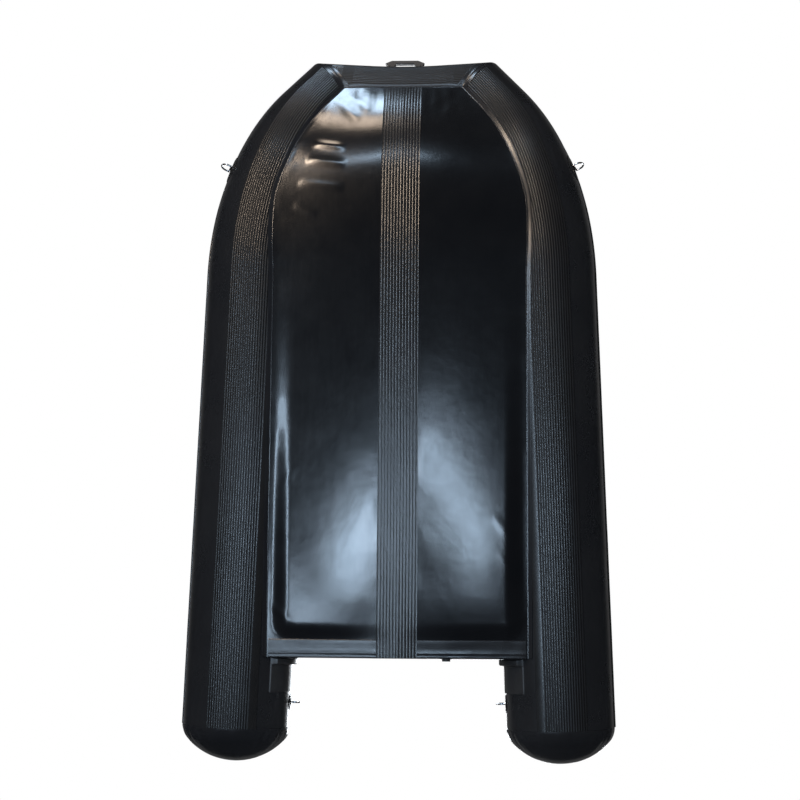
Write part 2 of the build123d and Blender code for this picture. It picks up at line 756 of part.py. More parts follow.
def oar_blade():
    """A flat blade with rounded corners, a spine and the socket that takes the shaft."""
    blade_end = oar_inboard - oar_length
    neck = blade_end + blade_length
    shoulder = neck - blade_taper
    side = blade_width / 2
    half = [(neck - blade_corner_radius, blade_neck_width / 2), (shoulder, side), (blade_end, side - blade_tip_taper)]
    outline = make_face(Polyline(*half, *[(x, -y) for x, y in reversed(half)], close=True))
    outline = fillet(outline.vertices(), blade_corner_radius)
    plate = Pos(0, 0, oar_standoff - blade_thickness / 2) * extrude(outline, blade_thickness)
    socket_end = neck + blade_socket / 2
    socket = along_oar(neck - blade_socket, socket_end, shaft_radius + blade_socket_wall)
    spine = along_oar(blade_end + blade_socket, neck - blade_socket, blade_spine_radius)
    return plate + socket + spine - along_oar(shaft_end(), socket_end, shaft_radius)


def oar_rest():
    """A saddle under the shaft, open inboard, where the grip end swings out."""
    lift = oar_standoff - shaft_radius - rest_gap
    base = extrude(Circle(rowlock_base_radius * rest_base_share), foot_depth + rest_base_height)
    base = Pos(rest_offset, 0, -foot_depth) * base
    along = (rest_offset - rest_width / 2, rest_offset + rest_width / 2)
    saddle = block(along, (-rest_saddle_width / 2, rest_saddle_width / 2), (0, lift))
    cheek_y = shaft_radius + rest_gap
    cheek = block(along, (-cheek_y - rest_cheek_thickness, -cheek_y), (0, oar_standoff + rest_cheek_rise))
    return rowlock_plane() * (base + saddle + cheek) - tube_sleeve(0)


# ---- the boat ----
def build():
    """Every node by name."""
    tube = side_tube()
    bow = bow_tube()
    bow_turn = in_bow_frame(0.0)
    guard = along_side(guard_profile())
    front_guard = along_bow(guard_profile(bow_turn))
    holder = transom_holder()
    sleeve = tube_sleeve(transom_edge_gap)
    board = transom_board() - sleeve - to_starboard(sleeve)
    bottom = trimmed(hull_bottom(), tube, guard) - bow - front_guard - board
    keel_guard = raw_bottom(keel_guard_section) - bottom - board - bow - front_guard
    holder = holder - board - bottom - guard
    keel_strip = block((-keel_guard_width / 2, keel_guard_width / 2), (-stern_y, stern_y), (0, transom_height))
    tape = trimmed(stern_tape(), tube, guard, holder) - bottom - keel_strip - board
    floor = trimmed(floor_panel(), tube, holder) - bottom - board
    valve_on_side = on_side(valve_setback, valve_angle) * air_valve() - tube
    floor_valve_y = station(transom_setback + floor_valve_setback)
    floor_valve_at = Pos(-floor_valve_offset, floor_valve_y, floor_underside + floor_thickness)
    bend_profile = section_plane(straight_length) * patch_band_profile(bow_ring_angle, bow_patch_radius)
    bend_band = revolve(bend_profile, bend_axis, bend_angle)
    stern_profile = section_plane(0) * patch_band_profile(stern_ring_angle, stern_patch_radius)
    stern_band = extrude(stern_profile, 2 * stern_ring_setback)
    bow_ring_plane = on_bend(bow_ring_share, bow_ring_angle)
    stern_ring_plane = on_side(stern_ring_setback, stern_ring_angle)
    ring_patches = {
        "bow_ring_patches": ring_patch(bow_ring_plane, bow_patch_radius, bend_band),
        "stern_ring_patches": ring_patch(stern_ring_plane, stern_patch_radius, stern_band),
    }
    handles = [carry_handle(setback) for setback in carry_setbacks]
    at_rowlock = rowlock_plane()

    sides = {
        "tube": tube,
        "stern_cap": stern_cap(),
        "tube_guard": along_side(ribbed_guard_profile()),
        "rub_strake": side_strake(),
        "transom_holder": holder,
        "air_valve": valve_on_side,
        "rowlock": rowlock(),
        "oar_rest": oar_rest(),
        "oar_shaft": at_rowlock * oar_shaft(),
        "oar_collar": at_rowlock * oar_collar(),
        "oar_grip": at_rowlock * oar_grip(),
        "oar_blade": at_rowlock * oar_blade(),
    }
    nodes = {}
    for name, shape in sides.items():
        nodes["port_" + name] = shape
        nodes["starboard_" + name] = to_starboard(shape)
    pairs = {
        "corner_tapes": [corner_tape()],
        "seat_holders": [seat_holder()],
        "carry_handles": handles,
        "bow_ring_patches": [ring_patches["bow_ring_patches"]],
        "stern_ring_patches": [ring_patches["stern_ring_patches"]],
        "bow_rings": [d_ring(bow_ring_plane, ring_width)],
        "stern_rings": [d_ring(stern_ring_plane, ring_width * 0.8)],
    }
    for name, shapes in pairs.items():
        solids = [solid for shape in shapes for solid in shape.solids()]
        nodes[name] = Compound(children=solids + [to_starboard(solid) for solid in solids])
    nodes.update({
        "bow_tube": bow,
        "bow_tube_guard": along_bow(ribbed_guard_profile(bow_turn)),
        "bow_rub_strake": bow_strake(),
        "hull_bottom": bottom,
        "keel_guard": keel_guard,
        "stern_tape": tape,
        "floor": floor,
        "floor_valve": floor_valve_at * (air_valve() - block((-50, 50), (-50, 50), (-40, 0))),
        "transom": board,
        "outer_motor_pad": motor_pad(station(transom_setback) + motor_pad_thickness),
        "inner_motor_pad": motor_pad(station(transom_setback + transom_thickness)),
        "drain_plug": drain_plug(),
        "bench_seat": bench(),
        "bow_air_valve": on_bow(bow_valve_offset, bow_valve_angle) * air_valve() - bow,
        "bow_handle": bow_handle(),
    })
    return nodes


os.makedirs("parts", exist_ok=True)
for name, shape in build().items():
    export_step(shape, f"parts/{name}.step")
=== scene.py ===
# %% [markdown]
# # An inflatable boat, seen from below
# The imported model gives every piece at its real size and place, in metres: +X is port, -Y is the bow, +Z is up.
# It stays as it is. This lesson adds what a solid can't say: coated fabric that puckers along its seams, moulded ribs,
# glossy black PVC, and the light that shows them.

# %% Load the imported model
from math import asin, atan2, cos, degrees, exp, hypot, pi, radians, sin, sqrt, tan

import bmesh
import bpy
from mathutils import Matrix, Quaternion, Vector, noise


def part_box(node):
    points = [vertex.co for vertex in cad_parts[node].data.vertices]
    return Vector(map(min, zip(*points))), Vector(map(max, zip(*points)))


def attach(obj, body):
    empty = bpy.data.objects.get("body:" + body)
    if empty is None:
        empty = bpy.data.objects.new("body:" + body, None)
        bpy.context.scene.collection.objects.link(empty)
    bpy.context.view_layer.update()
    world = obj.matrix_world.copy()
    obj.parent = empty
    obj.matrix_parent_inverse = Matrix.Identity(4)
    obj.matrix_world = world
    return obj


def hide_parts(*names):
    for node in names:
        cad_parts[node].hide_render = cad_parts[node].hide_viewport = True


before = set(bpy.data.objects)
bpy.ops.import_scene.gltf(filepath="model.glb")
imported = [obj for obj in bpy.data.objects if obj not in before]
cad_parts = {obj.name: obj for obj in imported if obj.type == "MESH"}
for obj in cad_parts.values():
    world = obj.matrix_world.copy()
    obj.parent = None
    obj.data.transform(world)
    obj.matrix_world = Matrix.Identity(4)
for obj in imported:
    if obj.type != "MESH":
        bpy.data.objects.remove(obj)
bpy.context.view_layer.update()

# %% [markdown]
# ## The camera
# The boat rests on its keel, and the camera looks up at the bottom from well below, a little to port and aft.
# A long lens keeps the two tubes nearly parallel. The picture's up is the bow, with a slight roll.

# %% Camera
scene = bpy.context.scene
eye = Vector((0.2153, 0.9518, -5.6477))
aim = Vector((-0.0005, 0.0656, 0.2115))
roll = 0.0073
forward = (aim - eye).normalized()
bow_way = Vector((0, -1, 0))
level_up = (bow_way - forward * bow_way.dot(forward)).normalized()
level_right = forward.cross(level_up)
right = level_right * cos(roll) + level_up * sin(roll)
above = level_up * cos(roll) - level_right * sin(roll)
focal_length = 65.73
lens = bpy.data.cameras.new("camera")
lens.lens = focal_length
lens.sensor_width = 36.0
lens.clip_end = 100.0
camera = bpy.data.objects.new("camera", lens)
camera.matrix_world = Matrix.Translation(eye) @ Matrix((right, above, -forward)).transposed().to_4x4()
scene.collection.objects.link(camera)
scene.camera = camera
scene.view_settings.view_transform = "Standard"
print("camera", [round(v, 3) for v in eye], "lens", focal_length)

# %% [markdown]
# ## A shorthand for shader nodes
# A finish is one Principled shader. Its patterns are sums and products of node outputs, which read best as plain
# arithmetic, so a small class wraps a socket and gives it the operators. Every other node comes from one method.

# %% Signal and Finish
class Signal:
    """A shader socket that adds, subtracts and multiplies like a number."""

    def __init__(self, finish, socket):
        self.finish = finish
        self.socket = socket

    def math(self, operation, *others):
        return self.finish.node("ShaderNodeMath", {"operation": operation}, [self, *others])

    def __add__(self, other):
        return self.math("ADD", other)

    def __mul__(self, other):
        return self.math("MULTIPLY", other)

    def __sub__(self, other):
        return self.math("SUBTRACT", other)


class Finish:
    """One material: constants on its Principled shader, and patterns built from nodes."""

    def __init__(self, name, **constants):
        self.material = bpy.data.materials.new(name)
        self.material.use_nodes = True
        self.nodes = self.material.node_tree.nodes
        self.links = self.material.node_tree.links
        self.shader = self.nodes["Principled BSDF"]
        for socket, value in constants.items():
            self.shader.inputs[socket.replace("_", " ")].default_value = value
        coordinates = self.nodes.new("ShaderNodeTexCoord")
        self.place = Signal(self, coordinates.outputs["Object"])

    def feed(self, socket, value):
        if isinstance(value, Signal):
            self.links.new(value.socket, socket)
        else:
            socket.default_value = value

    def node(self, kind, settings=(), values=(), output=0):
        made = self.nodes.new(kind)
        for key, value in dict(settings).items():
            setattr(made, key, value)
        pairs = values.items() if isinstance(values, dict) else enumerate(values)
        for key, value in pairs:
            self.feed(made.inputs[key], value)
        return Signal(self, made.outputs[output])

    def noise(self, scale, detail=3.0, stretch=(1, 1, 1), roughness=0.5):
        """Cloudy noise from 0 to 1, with a scale for each metre, stretched along the axes."""
        placed = self.node("ShaderNodeMapping", values={"Vector": self.place, "Scale": stretch})
        values = {"Vector": placed, "Scale": scale, "Detail": detail, "Roughness": roughness}
        return self.node("ShaderNodeTexNoise", values=values)

    def ramp(self, signal, low, high):
        """A smooth step from 0 to 1 between two levels."""
        settings = {"interpolation_type": "SMOOTHSTEP"}
        return self.node("ShaderNodeMapRange", settings, {"Value": signal, "From Min": low, "From Max": high})

    def mix(self, factor, below, above):
        """A colour laid over another one, by a factor."""
        made = self.nodes.new("ShaderNodeMix")
        made.data_type = "RGBA"
        self.feed(made.inputs["Factor"], factor)
        for socket, colour in ((made.inputs[6], below), (made.inputs[7], above)):
            self.feed(socket, colour if isinstance(colour, Signal) else (*colour, 1))
        return Signal(self, made.outputs[2])

    def wear(self, colour, roughness, bumps):
        """Feeds the colour, the roughness and a chain of bumps, each a height and its depth in metres."""
        self.feed(self.shader.inputs["Base Color"], colour)
        self.feed(self.shader.inputs["Roughness"], roughness)
        chain = {}
        for height, depth in bumps:
            values = {"Height": height, "Distance": depth, "Strength": 1.0, **chain}
            chain = {"Normal": self.node("ShaderNodeBump", values=values)}
        self.feed(self.shader.inputs["Normal"], chain["Normal"])
        return self.material


print("finishes are ready")

# %% [markdown]
# ## The stage
# The floor is pale from above, where it catches the boat's shadow and glows a little. From below it has to vanish, as
# if it were glass, because the camera looks through it. Geometry's Backfacing tells the two sides apart. Shadow rays
# and mirror rays pass it both ways, or it would keep the lamps below from lighting the bottom and showing in it.
# A dark tent round the boat is what the black fabric mirrors, as a studio's black flags are, and a dim scrim is its
# ceiling. Both are hidden from the camera, whose white background is the world.

# %% Floor, tent and world
def stage_material(name, colour, clear, glow=0.0):
    """A plain material that is clear where its test says so."""
    made = Finish(name, Roughness=0.9)
    made.shader.inputs["Base Color"].default_value = (*colour, 1)
    made.shader.inputs["Emission Color"].default_value = (1, 1, 1, 1)
    made.shader.inputs["Emission Strength"].default_value = glow
    see_through = made.node("ShaderNodeBsdfTransparent")
    factor = clear(made)
    output = made.nodes["Material Output"]
    mixed = made.node("ShaderNodeMixShader", values=[factor, Signal(made, made.shader.outputs[0]), see_through])
    made.links.new(mixed.socket, output.inputs["Surface"])
    return made.material


def from_below(made):
    """1 where the floor has to be clear."""
    back = made.node("ShaderNodeNewGeometry", output="Backfacing")
    shadow = made.node("ShaderNodeLightPath", output="Is Shadow Ray")
    mirror = made.node("ShaderNodeLightPath", output="Is Glossy Ray")
    return back.math("MAXIMUM", shadow).math("MAXIMUM", mirror)


def seen_by_camera(made):
    """1 where the camera looks straight at it."""
    return made.node("ShaderNodeLightPath", output="Is Camera Ray")


bpy.ops.object.select_all(action="DESELECT")
bpy.ops.mesh.primitive_plane_add(size=16, location=(0, 0, -0.001))
floor_plane = bpy.context.object
floor_plane.name = "stage_floor"
floor_plane.data.materials.append(stage_material("stage_floor", (0.86, 0.86, 0.85), from_below, 0.45))
bpy.ops.mesh.primitive_cube_add(size=16, location=(0, 0, -4), scale=(1, 1, 1.5))
tent = bpy.context.object
tent.name = "stage_tent"
tent.data.materials.append(stage_material("stage_tent", (0.003, 0.003, 0.004), seen_by_camera))
tent.data.materials.append(stage_material("stage_scrim", (0.02, 0.02, 0.02), seen_by_camera, 0.12))
for face in tent.data.polygons:
    face.material_index = 1 if face.center.z > 1 else 0

world = bpy.data.worlds.new("world")
scene.world = world
world.use_nodes = True
world_nodes = world.node_tree.nodes
world_links = world.node_tree.links
background = world_nodes["Background"]
path = world_nodes.new("ShaderNodeLightPath")
seen = path.outputs["Is Camera Ray"]
for ray in ("Is Glossy Ray", "Is Transmission Ray"):
    either = world_nodes.new("ShaderNodeMath")
    either.operation = "MAXIMUM"
    world_links.new(seen, either.inputs[0])
    world_links.new(path.outputs[ray], either.inputs[1])
    seen = either.outputs[0]
strength = world_nodes.new("ShaderNodeMapRange")
strength.inputs["To Min"].default_value = 0.35
strength.inputs["To Max"].default_value = 1.0
world_links.new(seen, strength.inputs["Value"])
world_links.new(strength.outputs[0], background.inputs["Strength"])
background.inputs["Color"].default_value = (1, 1, 1, 1)
print("stage", floor_plane.name, "and", tent.name)

# %% [markdown]
# ## Lamps
# Black gloss shows lamps, not light: each long soft box becomes one broad glow on a panel of the bottom. Three lie
# below it, near the camera, and three ahead of the bow. Ribs need one narrow line of light, since a second would fill
# the first one's dark gaps: two long thin boxes lie to starboard, one for the bow's ribs and one for the stern's.
# Two soft ones hang above for every other view.

# %% Lamps
def soft_box(name, place, target, size, power, colour, along=(1, 0, 0)):
    """A rectangular area lamp that faces a point, its first size along a direction."""
    data = bpy.data.lights.new(name, "AREA")
    data.shape = "RECTANGLE"
    data.size, data.size_y = size
    data.energy = power
    data.color = colour
    lamp = bpy.data.objects.new(name, data)
    back = (Vector(place) - Vector(target)).normalized()
    wide = (Vector(along) - back * back.dot(Vector(along))).normalized()
    turn = Matrix((wide, back.cross(wide), back)).transposed()
    lamp.matrix_world = Matrix.Translation(place) @ turn.to_4x4()
    scene.collection.objects.link(lamp)


cool = (0.60, 0.79, 1.0)
neutral = (0.90, 0.95, 1.0)
warm = (1.0, 0.80, 0.62)
lamps = (
    ("starboard_glow", (-0.66, 0.38, -5.0), (-0.3, 0.3, 0), (0.90, 0.20), 32, cool, (-0.50, 0.75, 0)),
    ("port_glow", (0.50, 0.10, -5.0), (0.3, 0.3, 0), (1.30, 0.18), 33, cool, (0.75, 1.0, 0)),
    ("stern_haze", (-1.5, 1.1, -5.0), (-0.3, 0.3, 0), (0.9, 0.5), 22, cool),
    ("bow_spot", (-0.9, -7.6, 0.8), (-0.15, -1.2, 0.25), (1.2, 0.7), 56, cool, (0, 0, 1)),
    ("bow_tube_glow", (-0.6, -7.8, -4.4), (-0.1, -1.4, 0.3), (1.8, 0.35), 50, cool),
    ("bow_warm_glow", (-1.0, -7.2, -0.6), (0, -1.0, 0.2), (1.0, 0.4), 20, warm, (0, 0, 1)),
    ("bow_ribs", (-2.7, -5.0, -4.9), (-0.6, -0.6, 0), (5.4, 0.22), 330, warm, (0, 1, 0)),
    ("stern_ribs", (-2.7, -0.2, -4.9), (-0.5, 0.3, 0), (3.8, 0.22), 90, cool, (0, 1, 0)),
    ("key_above", (-0.8, -1.5, 5.4), (0, 0, 0.3), (1.8, 1.8), 220, neutral),
    ("fill_above", (0.8, 1.3, 5.4), (0, 0, 0.3), (1.6, 1.8), 180, neutral),
)
for lamp in lamps:
    soft_box(*lamp)
print("lamps", len(lamps))

# %% [markdown]
# ## Finishes
# The boat is PVC throughout: a polyester cloth with a thick, dark, shiny coat. What makes it look real is how uneven
# its shine is. Handling, dust and the coat's own orange peel spread the highlight by different amounts from place to
# place, so roughness carries most of the detail, and the colour barely moves.

# %% Coated fabrics
def coated_fabric(name, colour, dull, shine_low, shine_high, dust):
    """Black PVC: faint cloud in the colour, cloudy and streaky shine, orange peel and dust."""
    made = Finish(name, Specular_IOR_Level=0.5)
    cloud = made.noise(7.0, 4.0)
    fine = made.noise(46.0, 5.0)
    streak = made.noise(9.0, 4.0, stretch=(9.0, 1.0, 4.0))
    specks = made.ramp(made.noise(420.0, 2.0), 0.72, 0.80)
    film = made.ramp(made.noise(2.3, 3.0), 0.35, 0.75)
    shade = made.mix(cloud, colour, dull)
    shade = made.mix(specks * dust + film * (dust * 0.25), shade, (0.30, 0.29, 0.27))
    span = shine_high - shine_low
    shine = cloud * (span * 0.9) + fine * (span * 0.45) + streak * (span * 0.5) + specks * 0.2
    peel = made.noise(950.0, 2.0)
    return made.wear(shade, shine + (shine_low - span * 0.4), [(peel, 0.000012), (made.noise(22.0, 3.0), 0.00028)])


tube_fabric = coated_fabric(
    "tube_fabric", (0.0065, 0.0072, 0.0090), (0.0100, 0.0104, 0.0118), 0.22, 0.36, 0.03)
bottom_fabric = coated_fabric(
    "bottom_fabric", (0.0030, 0.0035, 0.0046), (0.0048, 0.0053, 0.0064), 0.14, 0.20, 0.012)
cap_fabric = coated_fabric(
    "cap_fabric", (0.0060, 0.0066, 0.0085), (0.0095, 0.0100, 0.0115), 0.18, 0.30, 0.03)
print("coated fabrics have", len(tube_fabric.node_tree.nodes), "nodes each")

# %% [markdown]
# The guards are extruded rubber: a touch greyer, and polished on the ribs. Their grooves take a darker and duller
# rubber of their own, which mirrors less and gathers more dust; its darker colour is painted shade.

# %% Guard rubber
def rubber(name, colour, dull, shine_low, shine_high, dust, gloss):
    """Black rubber, rubbed along its length; gloss is how strongly it mirrors."""
    made = Finish(name, Specular_IOR_Level=gloss)
    cloud = made.noise(13.0, 4.0)
    rub = made.noise(30.0, 4.0, stretch=(5.0, 0.6, 5.0))
    specks = made.ramp(made.noise(380.0, 2.0), 0.70, 0.80)
    shade = made.mix(cloud, colour, dull)
    shade = made.mix(specks * dust, shade, (0.26, 0.25, 0.23))
    span = shine_high - shine_low
    shine = cloud * (span * 0.6) + rub * (span * 0.4) + specks * 0.12 + shine_low
    return made.wear(shade, shine, [(made.noise(700.0, 3.0), 0.00001), (made.noise(40.0, 2.0), 0.00005)])


guard_rubber = rubber(
    "guard_rubber", (0.0070, 0.0073, 0.0082), (0.0105, 0.0104, 0.0106), 0.19, 0.29, 0.03, 0.5)
# Painted shade: the grooves' rubber is darker than the crests' so that the grooves look shaded; only its extra dust is
# real.
groove_rubber_painted_shade = rubber(
    "groove_rubber_painted_shade", (0.0040, 0.0042, 0.0050), (0.0070, 0.0070, 0.0072), 0.38, 0.50, 0.05, 0.25)


def dress(material, *pieces):
    """Gives pieces, or CAD nodes by name, one finish."""
    for piece in pieces:
        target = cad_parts[piece] if isinstance(piece, str) else piece
        target.data.materials.clear()
        target.data.materials.append(material)


print("rubbers", guard_rubber.name, groove_rubber_painted_shade.name)

# %% [markdown]
# ## The boat's lines
# The fabric shell is laid out as the boat builder does it: each side tube is a straight cylinder, a bend in a tilted
# plane and a short shoulder, cut off at a mitre where the bow tube begins. Every strip glued to it follows the same
# line, so the line is worked out once. Angles round a tube are measured from straight down, outboard positive.

# %% Lines of the tubes
tube_radius = 0.208
guard_radius = 0.2115
tube_half_spacing = 0.6365
straight_length = 1.805
bend_radius = 1.043
bend_turn = radians(44.1)
bend_tilt = radians(50.7)
shoulder_length = 0.140
bow_stub = 0.140
bow_sag = radians(3.4)
toe_in = radians(1.65)

up = Vector((0, 0, 1))
heading = Vector((-sin(toe_in), -cos(toe_in), 0))
outboard = Vector((cos(toe_in), -sin(toe_in), 0))
bend_toward = outboard * -cos(bend_tilt) + up * sin(bend_tilt)
bend_normal = heading.cross(bend_toward)
transom_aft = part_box("transom")[1].y
stern = Vector((tube_half_spacing, transom_aft + 0.270, guard_radius))
bend_start = stern + heading * straight_length
bend_pivot = bend_start + bend_toward * bend_radius
end_heading = Quaternion(bend_normal, bend_turn) @ heading
bend_end = bend_pivot + Quaternion(bend_normal, bend_turn) @ (bend_start - bend_pivot)
corner = bend_end + end_heading * shoulder_length
bow_leave = Vector((-cos(bow_sag), sin(bow_sag), 0))
mitre_normal = (end_heading + bow_leave).normalized()
bow_curve = (corner.x - bow_stub * cos(bow_sag)) / sin(bow_sag)
bow_middle = Vector((0, corner.y + bow_stub * sin(bow_sag) + bow_curve * (1 - cos(bow_sag)), corner.z))
bow_pivot = Vector((0, bow_middle.y - bow_curve, 0))
print("corner", [round(v, 4) for v in corner], "bow middle", [round(v, 4) for v in bow_middle])


def side_frame(along):
    """The tube's middle, its heading, and its outboard and up directions, at a distance from the stern seam."""
    turn = min(max((along - straight_length) / bend_radius, 0.0), bend_turn)
    spin = Quaternion(bend_normal, turn)
    if along <= straight_length:
        middle = stern + heading * along
    else:
        middle = bend_pivot + spin @ (bend_start - bend_pivot)
    beyond = max(along - straight_length - bend_radius * bend_turn, 0.0)
    return middle + (spin @ heading) * beyond, spin @ heading, spin @ outboard, spin @ up


def on_side(along, angle, radius=guard_radius):
    """A point on the port tube."""
    middle, _, out, rise = side_frame(along)
    return middle + (out * sin(radians(angle)) - rise * cos(radians(angle))) * radius


def side_place(point):
    """Distance from the stern seam, degrees round from straight down, and radius, of a point by the port tube."""
    along = (point - stern).dot(heading)
    if along > straight_length:
        arm = point - bend_pivot
        turn = atan2(arm.dot(heading), -arm.dot(bend_toward))
        if turn <= bend_turn:
            along = straight_length + turn * bend_radius
        else:
            along = straight_length + bend_turn * bend_radius + (point - bend_end).dot(end_heading)
    middle, _, out, rise = side_frame(along)
    away = point - middle
    return along, degrees(atan2(away.dot(out), -away.dot(rise))), hypot(away.dot(out), away.dot(rise))


def bow_turn_of(angle):
    """The angle round the bow tube where a line on the side tube arrives after the mitre."""
    spin = Quaternion(bend_normal, bend_turn)
    way = spin @ (outboard * sin(radians(angle)) - up * cos(radians(angle)))
    way = way - mitre_normal * (2 * way.dot(mitre_normal))
    return degrees(atan2(way.dot(Vector((-sin(bow_sag), -cos(bow_sag), 0))), -way.z))


bow_turn = bow_turn_of(0.0)
print("strips turn", round(bow_turn, 2), "degrees round the bow tube at the mitre")

# %% [markdown]
# ## Working by hand, in code
# Each operator works on what is selected, so these helpers deselect everything, open a piece for editing, and pick
# its points by a test. A carried section is a primitive circle, cut down to the arc that the strip covers. It is
# extruded up the straight, spun round the bend and extruded to the mitre, where a bisect cuts it off.

# %% Helpers
past_mitre = 0.25       # how far a section is carried past the mitre before it is cut


def deselect():
    if bpy.context.object and bpy.context.object.mode != "OBJECT":
        bpy.ops.object.mode_set(mode="OBJECT")
    bpy.ops.object.select_all(action="DESELECT")


def take(piece):
    """Selects one piece alone."""
    deselect()
    piece.select_set(True)
    bpy.context.view_layer.objects.active = piece


def open_up(piece):
    """Edit mode on one piece alone."""
    take(piece)
    bpy.ops.object.mode_set(mode="EDIT")
    return piece


def pick(piece, test):
    """Selects the points that pass a test on their place."""
    bpy.ops.mesh.select_mode(type="VERT")
    bpy.ops.mesh.select_all(action="DESELECT")
    mesh = bmesh.from_edit_mesh(piece.data)
    for vert in mesh.verts:
        vert.select = bool(test(vert.co))
    mesh.select_flush_mode()
    bmesh.update_edit_mesh(piece.data)


def close(piece, angle=35):
    """Merges doubles, turns the faces outwards and smooths all but the sharp edges."""
    open_up(piece)
    bpy.ops.mesh.select_all(action="SELECT")
    bpy.ops.mesh.remove_doubles(threshold=0.00002)
    bpy.ops.mesh.normals_make_consistent(inside=False)
    bpy.ops.object.mode_set(mode="OBJECT")
    bpy.ops.object.shade_smooth_by_angle(angle=radians(angle))
    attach(piece, "hull")
    return piece


def modify(piece, kind, **settings):
    """Adds a modifier and applies it."""
    take(piece)
    made = piece.modifiers.new(kind.lower(), kind)
    for key, value in settings.items():
        setattr(made, key, value)
    bpy.ops.object.modifier_apply(modifier=made.name)
    return piece


def mirrored(piece):
    """Adds the starboard half to a port piece that both sides share."""
    return modify(piece, "MIRROR", use_axis=(True, False, False), merge_threshold=0.0002)


def twin(piece, name):
    """The starboard copy of a port piece, with its own mesh."""
    take(piece)
    bpy.ops.object.duplicate(linked=False)
    other = bpy.context.object
    other.name = name
    bpy.ops.object.mode_set(mode="EDIT")
    bpy.ops.mesh.select_all(action="SELECT")
    bpy.ops.transform.resize(value=(-1, 1, 1), center_override=(0, 0, 0))
    bpy.ops.mesh.normals_make_consistent(inside=False)
    bpy.ops.object.mode_set(mode="OBJECT")
    return other


def relief(piece, height):
    """Moves each point along its normal, by a height worked out from its place."""
    normals = [vert.normal.copy() for vert in piece.data.vertices]
    for vert, normal in zip(piece.data.vertices, normals):
        vert.co += normal * height(vert.co.copy())
    piece.data.update()
    return piece


def hill(value, middle, half):
    """A smooth hill from 0 to 1 and back, a given half width each side of its middle."""
    share = abs(value - middle) / half
    return (1 - share * share) ** 2 if share < 1 else 0.0


def step(value, low, high):
    """A smooth step from 0 at low to 1 at high."""
    share = min(max((value - low) / (high - low), 0.0), 1.0)
    return share * share * (3 - 2 * share)


def rough(point, scale, seed=0.0):
    """Smooth noise from -1 to 1, with waves about a scale long."""
    return noise.noise(point / scale + Vector((seed, seed * 0.7, -seed)))


def ring(name, middle, across, upward, radius, points):
    """A circle primitive on a tube's section, open for editing."""
    deselect()
    turn = Matrix((across, upward, across.cross(upward))).transposed()
    bpy.ops.mesh.primitive_circle_add(vertices=points, radius=radius, location=middle, rotation=turn.to_euler())
    piece = bpy.context.object
    piece.name = name
    bpy.ops.object.transform_apply(location=True, rotation=True, scale=True)
    return open_up(piece)


def pull(way, length, steps):
    """Extrudes the selected section in equal steps."""
    for _ in range(steps):
        bpy.ops.mesh.extrude_region_move(TRANSFORM_OT_translate={"value": way * (length / steps)})


def up_the_side(piece, straight_steps=60, bend_steps=44):
    """Carries the selected section from the stern seam to the bow mitre."""
    pull(heading, straight_length, straight_steps)
    bpy.ops.mesh.spin(steps=bend_steps, angle=-bend_turn, center=bend_pivot, axis=bend_normal)
    pull(end_heading, shoulder_length + past_mitre, 12)
    bpy.ops.mesh.select_all(action="SELECT")
    bpy.ops.mesh.bisect(plane_co=corner, plane_no=mitre_normal, clear_outer=True)
    bpy.ops.object.mode_set(mode="OBJECT")
    return piece


def across_the_bow(piece, curve_steps=10, stub_steps=12):
    """Carries the selected section from the bow's middle to the port mitre, and mirrors it to starboard."""
    bpy.ops.mesh.spin(steps=curve_steps, angle=bow_sag, center=bow_pivot, axis=up)
    pull(-bow_leave, bow_stub + past_mitre, stub_steps)
    bpy.ops.mesh.select_all(action="SELECT")
    bpy.ops.mesh.bisect(plane_co=corner, plane_no=mitre_normal, clear_inner=True)
    bpy.ops.object.mode_set(mode="OBJECT")
    return mirrored(piece)


print("each side tube is", round(straight_length + bend_radius * bend_turn + shoulder_length, 3), "m long")

# %% [markdown]
# ## Side tubes
# A side tube is a sleeve of coated fabric blown tight, so it is round, but its seams aren't perfect: the cloth dips
# a little along a taped joint and puckers into it. The sleeve is one ring of points carried up the line. The dips are
# moved in afterwards, as a sculptor would press them.

# %% Side tubes
cross_seams = (0.62, 1.762)


def seam_dip(along, angle, seed):
    """How far the cloth dips at the taped cross seams, with the puckers that run out of them."""
    dip = 0.0
    for seam in cross_seams:
        ripple = rough(Vector((angle / 9, seam * 7 + seed, 0)), 1.0) * hill(along, seam, 0.075)
        dip -= 0.0008 * hill(along, seam, 0.045) - 0.0007 * ripple * (1 - hill(along, seam, 0.02))
    return dip


def tube_height(seed, side):
    """The relief of one tube: still near both ends, where it meets its neighbours."""
    def height(co):
        along, angle, _ = side_place(Vector((co.x * side, co.y, co.z)))
        calm = step(along, 0.02, 0.12) * step(2.70 - along, 0.0, 0.10)
        cloth = 0.0003 * rough(co, 0.16, seed) + 0.00012 * rough(co, 0.05, seed + 3)
        return calm * (cloth + seam_dip(along, angle, seed))
    return height


def cap_ends(piece):
    """Closes the open rings."""
    open_up(piece)
    bpy.ops.mesh.select_all(action="SELECT")
    bpy.ops.mesh.fill_holes(sides=0)
    bpy.ops.object.mode_set(mode="OBJECT")


port_tube = ring("port_tube_skin", stern, outboard, up, tube_radius, 144)
up_the_side(port_tube)
cap_ends(port_tube)
starboard_tube = twin(port_tube, "starboard_tube_skin")
for side, tube in ((1, port_tube), (-1, starboard_tube)):
    close(tube)
    relief(tube, tube_height(5.0 + side, side))
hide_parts("port_tube")
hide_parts("starboard_tube")
print("side tube", len(port_tube.data.polygons), "faces")

# %% [markdown]
# ## Bow tube
# The bow tube is the same sleeve, slightly bowed aft between its two mitres.

